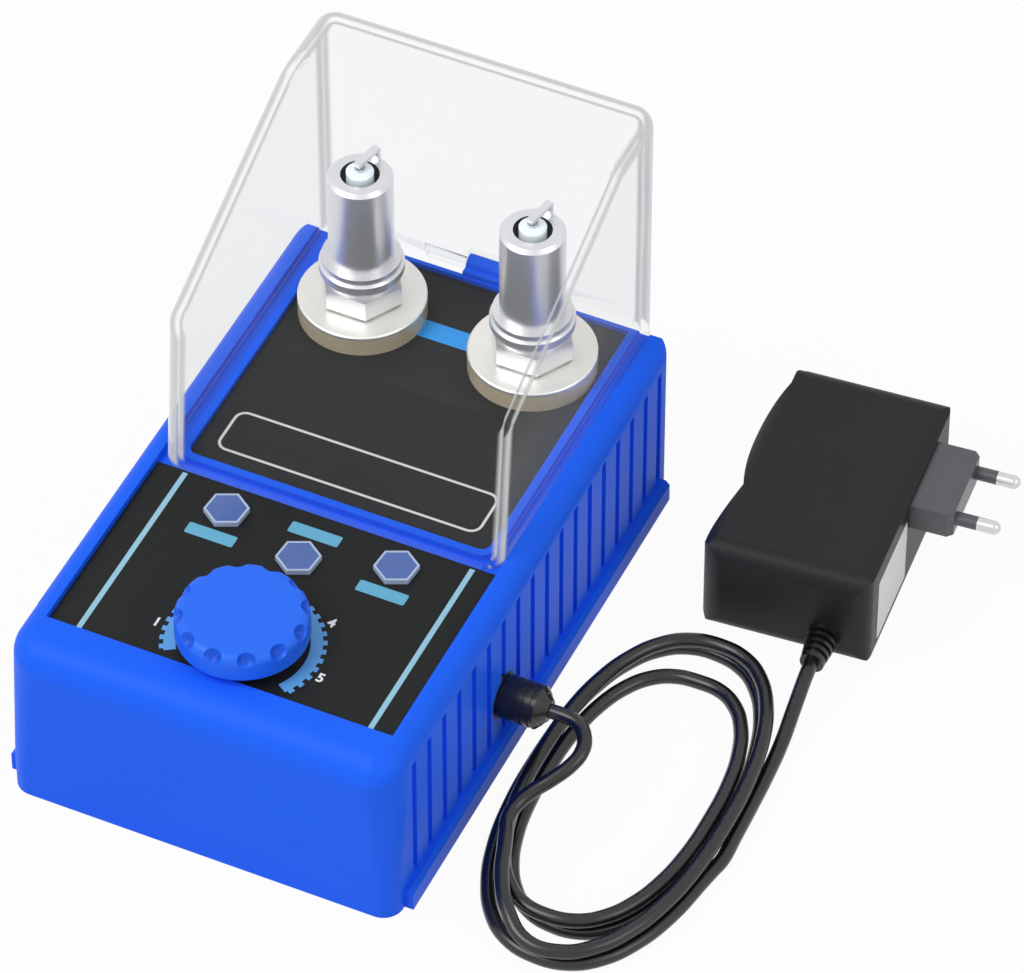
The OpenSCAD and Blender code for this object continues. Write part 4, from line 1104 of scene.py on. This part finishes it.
def makeAdapterLabel(design):
    # a bare pale label on the pin side
    bm = bmesh.new()
    (y0, y1), (z0, z1) = design["along"], design["up"]
    corners = ((y0, z0), (y1, z0), (y1, z1), (y0, z1))
    bm.faces.new([bm.verts.new(place(design["face"], y, z)) for y, z in corners])
    bmesh.ops.bevel(
        bm, geom=bm.verts[:], offset=design["corner"] * mm, segments=design["cornerSteps"], profile=0.5,
        affect="VERTICES", material=-1)
    grown = bmesh.ops.extrude_face_region(bm, geom=bm.faces[:])
    bmesh.ops.translate(bm, verts=newVerts(grown), vec=place(design["thickness"], 0, 0))
    for vert in bm.verts:
        vert.co = onAdapter(vert.co / mm) * mm
    printedPiece("adapterLabel", bm, inks["white"])


makeAdapterLabel(adapterLabel)
print("printing done")


# Floor, world and lamps

studio = {
    "floorHalf": 4.0,
    "floorSquares": 4,
    "floorRough": 0.9,
    "floorShine": 0.1,
    "floorColour": (0.72, 0.72, 0.72),
    "floorGlow": 0.95,
    "ambient": 0.50,
    "lamps": [
        {"name": "keyLamp", "stand": (-0.75, -0.85, 1.50), "size": 1.2, "power": 17.0},
        {"name": "sideLamp", "stand": (1.30, -0.20, 1.00), "size": 0.9, "power": 4.0},
    ],
    "target": (0.02, 0.0, 0.03),
}


def seenDirectly(tree):
    path = addNode(tree, "ShaderNodeLightPath")
    seen = addMath(tree, "ADD", path.outputs["Is Camera Ray"], path.outputs["Is Glossy Ray"])
    seen = addMath(tree, "ADD", seen, path.outputs["Is Transmission Ray"])
    return addMath(tree, "MINIMUM", seen, 1.0)


def makeFloor(setup):
    bm = bmesh.new()
    squares = setup["floorSquares"]
    bmesh.ops.create_grid(bm, x_segments=squares, y_segments=squares, size=setup["floorHalf"])
    finish = bpy.data.materials.new("paleFloor")
    finish.use_nodes = True
    tree = finish.node_tree
    shader = tree.nodes["Principled BSDF"]
    shader.inputs["Base Color"].default_value = (*setup["floorColour"], 1)
    shader.inputs["Roughness"].default_value = setup["floorRough"]
    shader.inputs["Specular IOR Level"].default_value = setup["floorShine"]
    glow = addNode(tree, "ShaderNodeEmission")
    mix = addNode(tree, "ShaderNodeMixShader")
    tree.links.new(addMath(tree, "MULTIPLY", seenDirectly(tree), setup["floorGlow"]), mix.inputs[0])
    tree.links.new(shader.outputs[0], mix.inputs[1])
    tree.links.new(glow.outputs[0], mix.inputs[2])
    tree.links.new(mix.outputs[0], tree.nodes["Material Output"].inputs["Surface"])
    floor = meshPiece("floor", bm, finish, smooth=False)


def makeWorld(setup):
    world = bpy.data.worlds.new("studio")
    bpy.context.scene.world = world
    world.use_nodes = True
    tree = world.node_tree
    background = tree.nodes["Background"]
    background.inputs["Color"].default_value = (1, 1, 1, 1)
    strength = addSpread(tree, seenDirectly(tree), (0, 1), setup["ambient"], 1)
    tree.links.new(strength, background.inputs["Strength"])


def makeLamps(setup):
    for lamp in setup["lamps"]:
        data = bpy.data.lights.new(lamp["name"], "AREA")
        data.shape = "DISK"
        data.size = lamp["size"]
        data.energy = lamp["power"]
        holder = linkPiece(lamp["name"], data)
        holder.location = lamp["stand"]
        aim = Vector(setup["target"]) - Vector(lamp["stand"])
        holder.rotation_euler = aim.to_track_quat("-Z", "Y").to_euler()


makeFloor(studio)
makeWorld(studio)
makeLamps(studio)
print("studio lit")
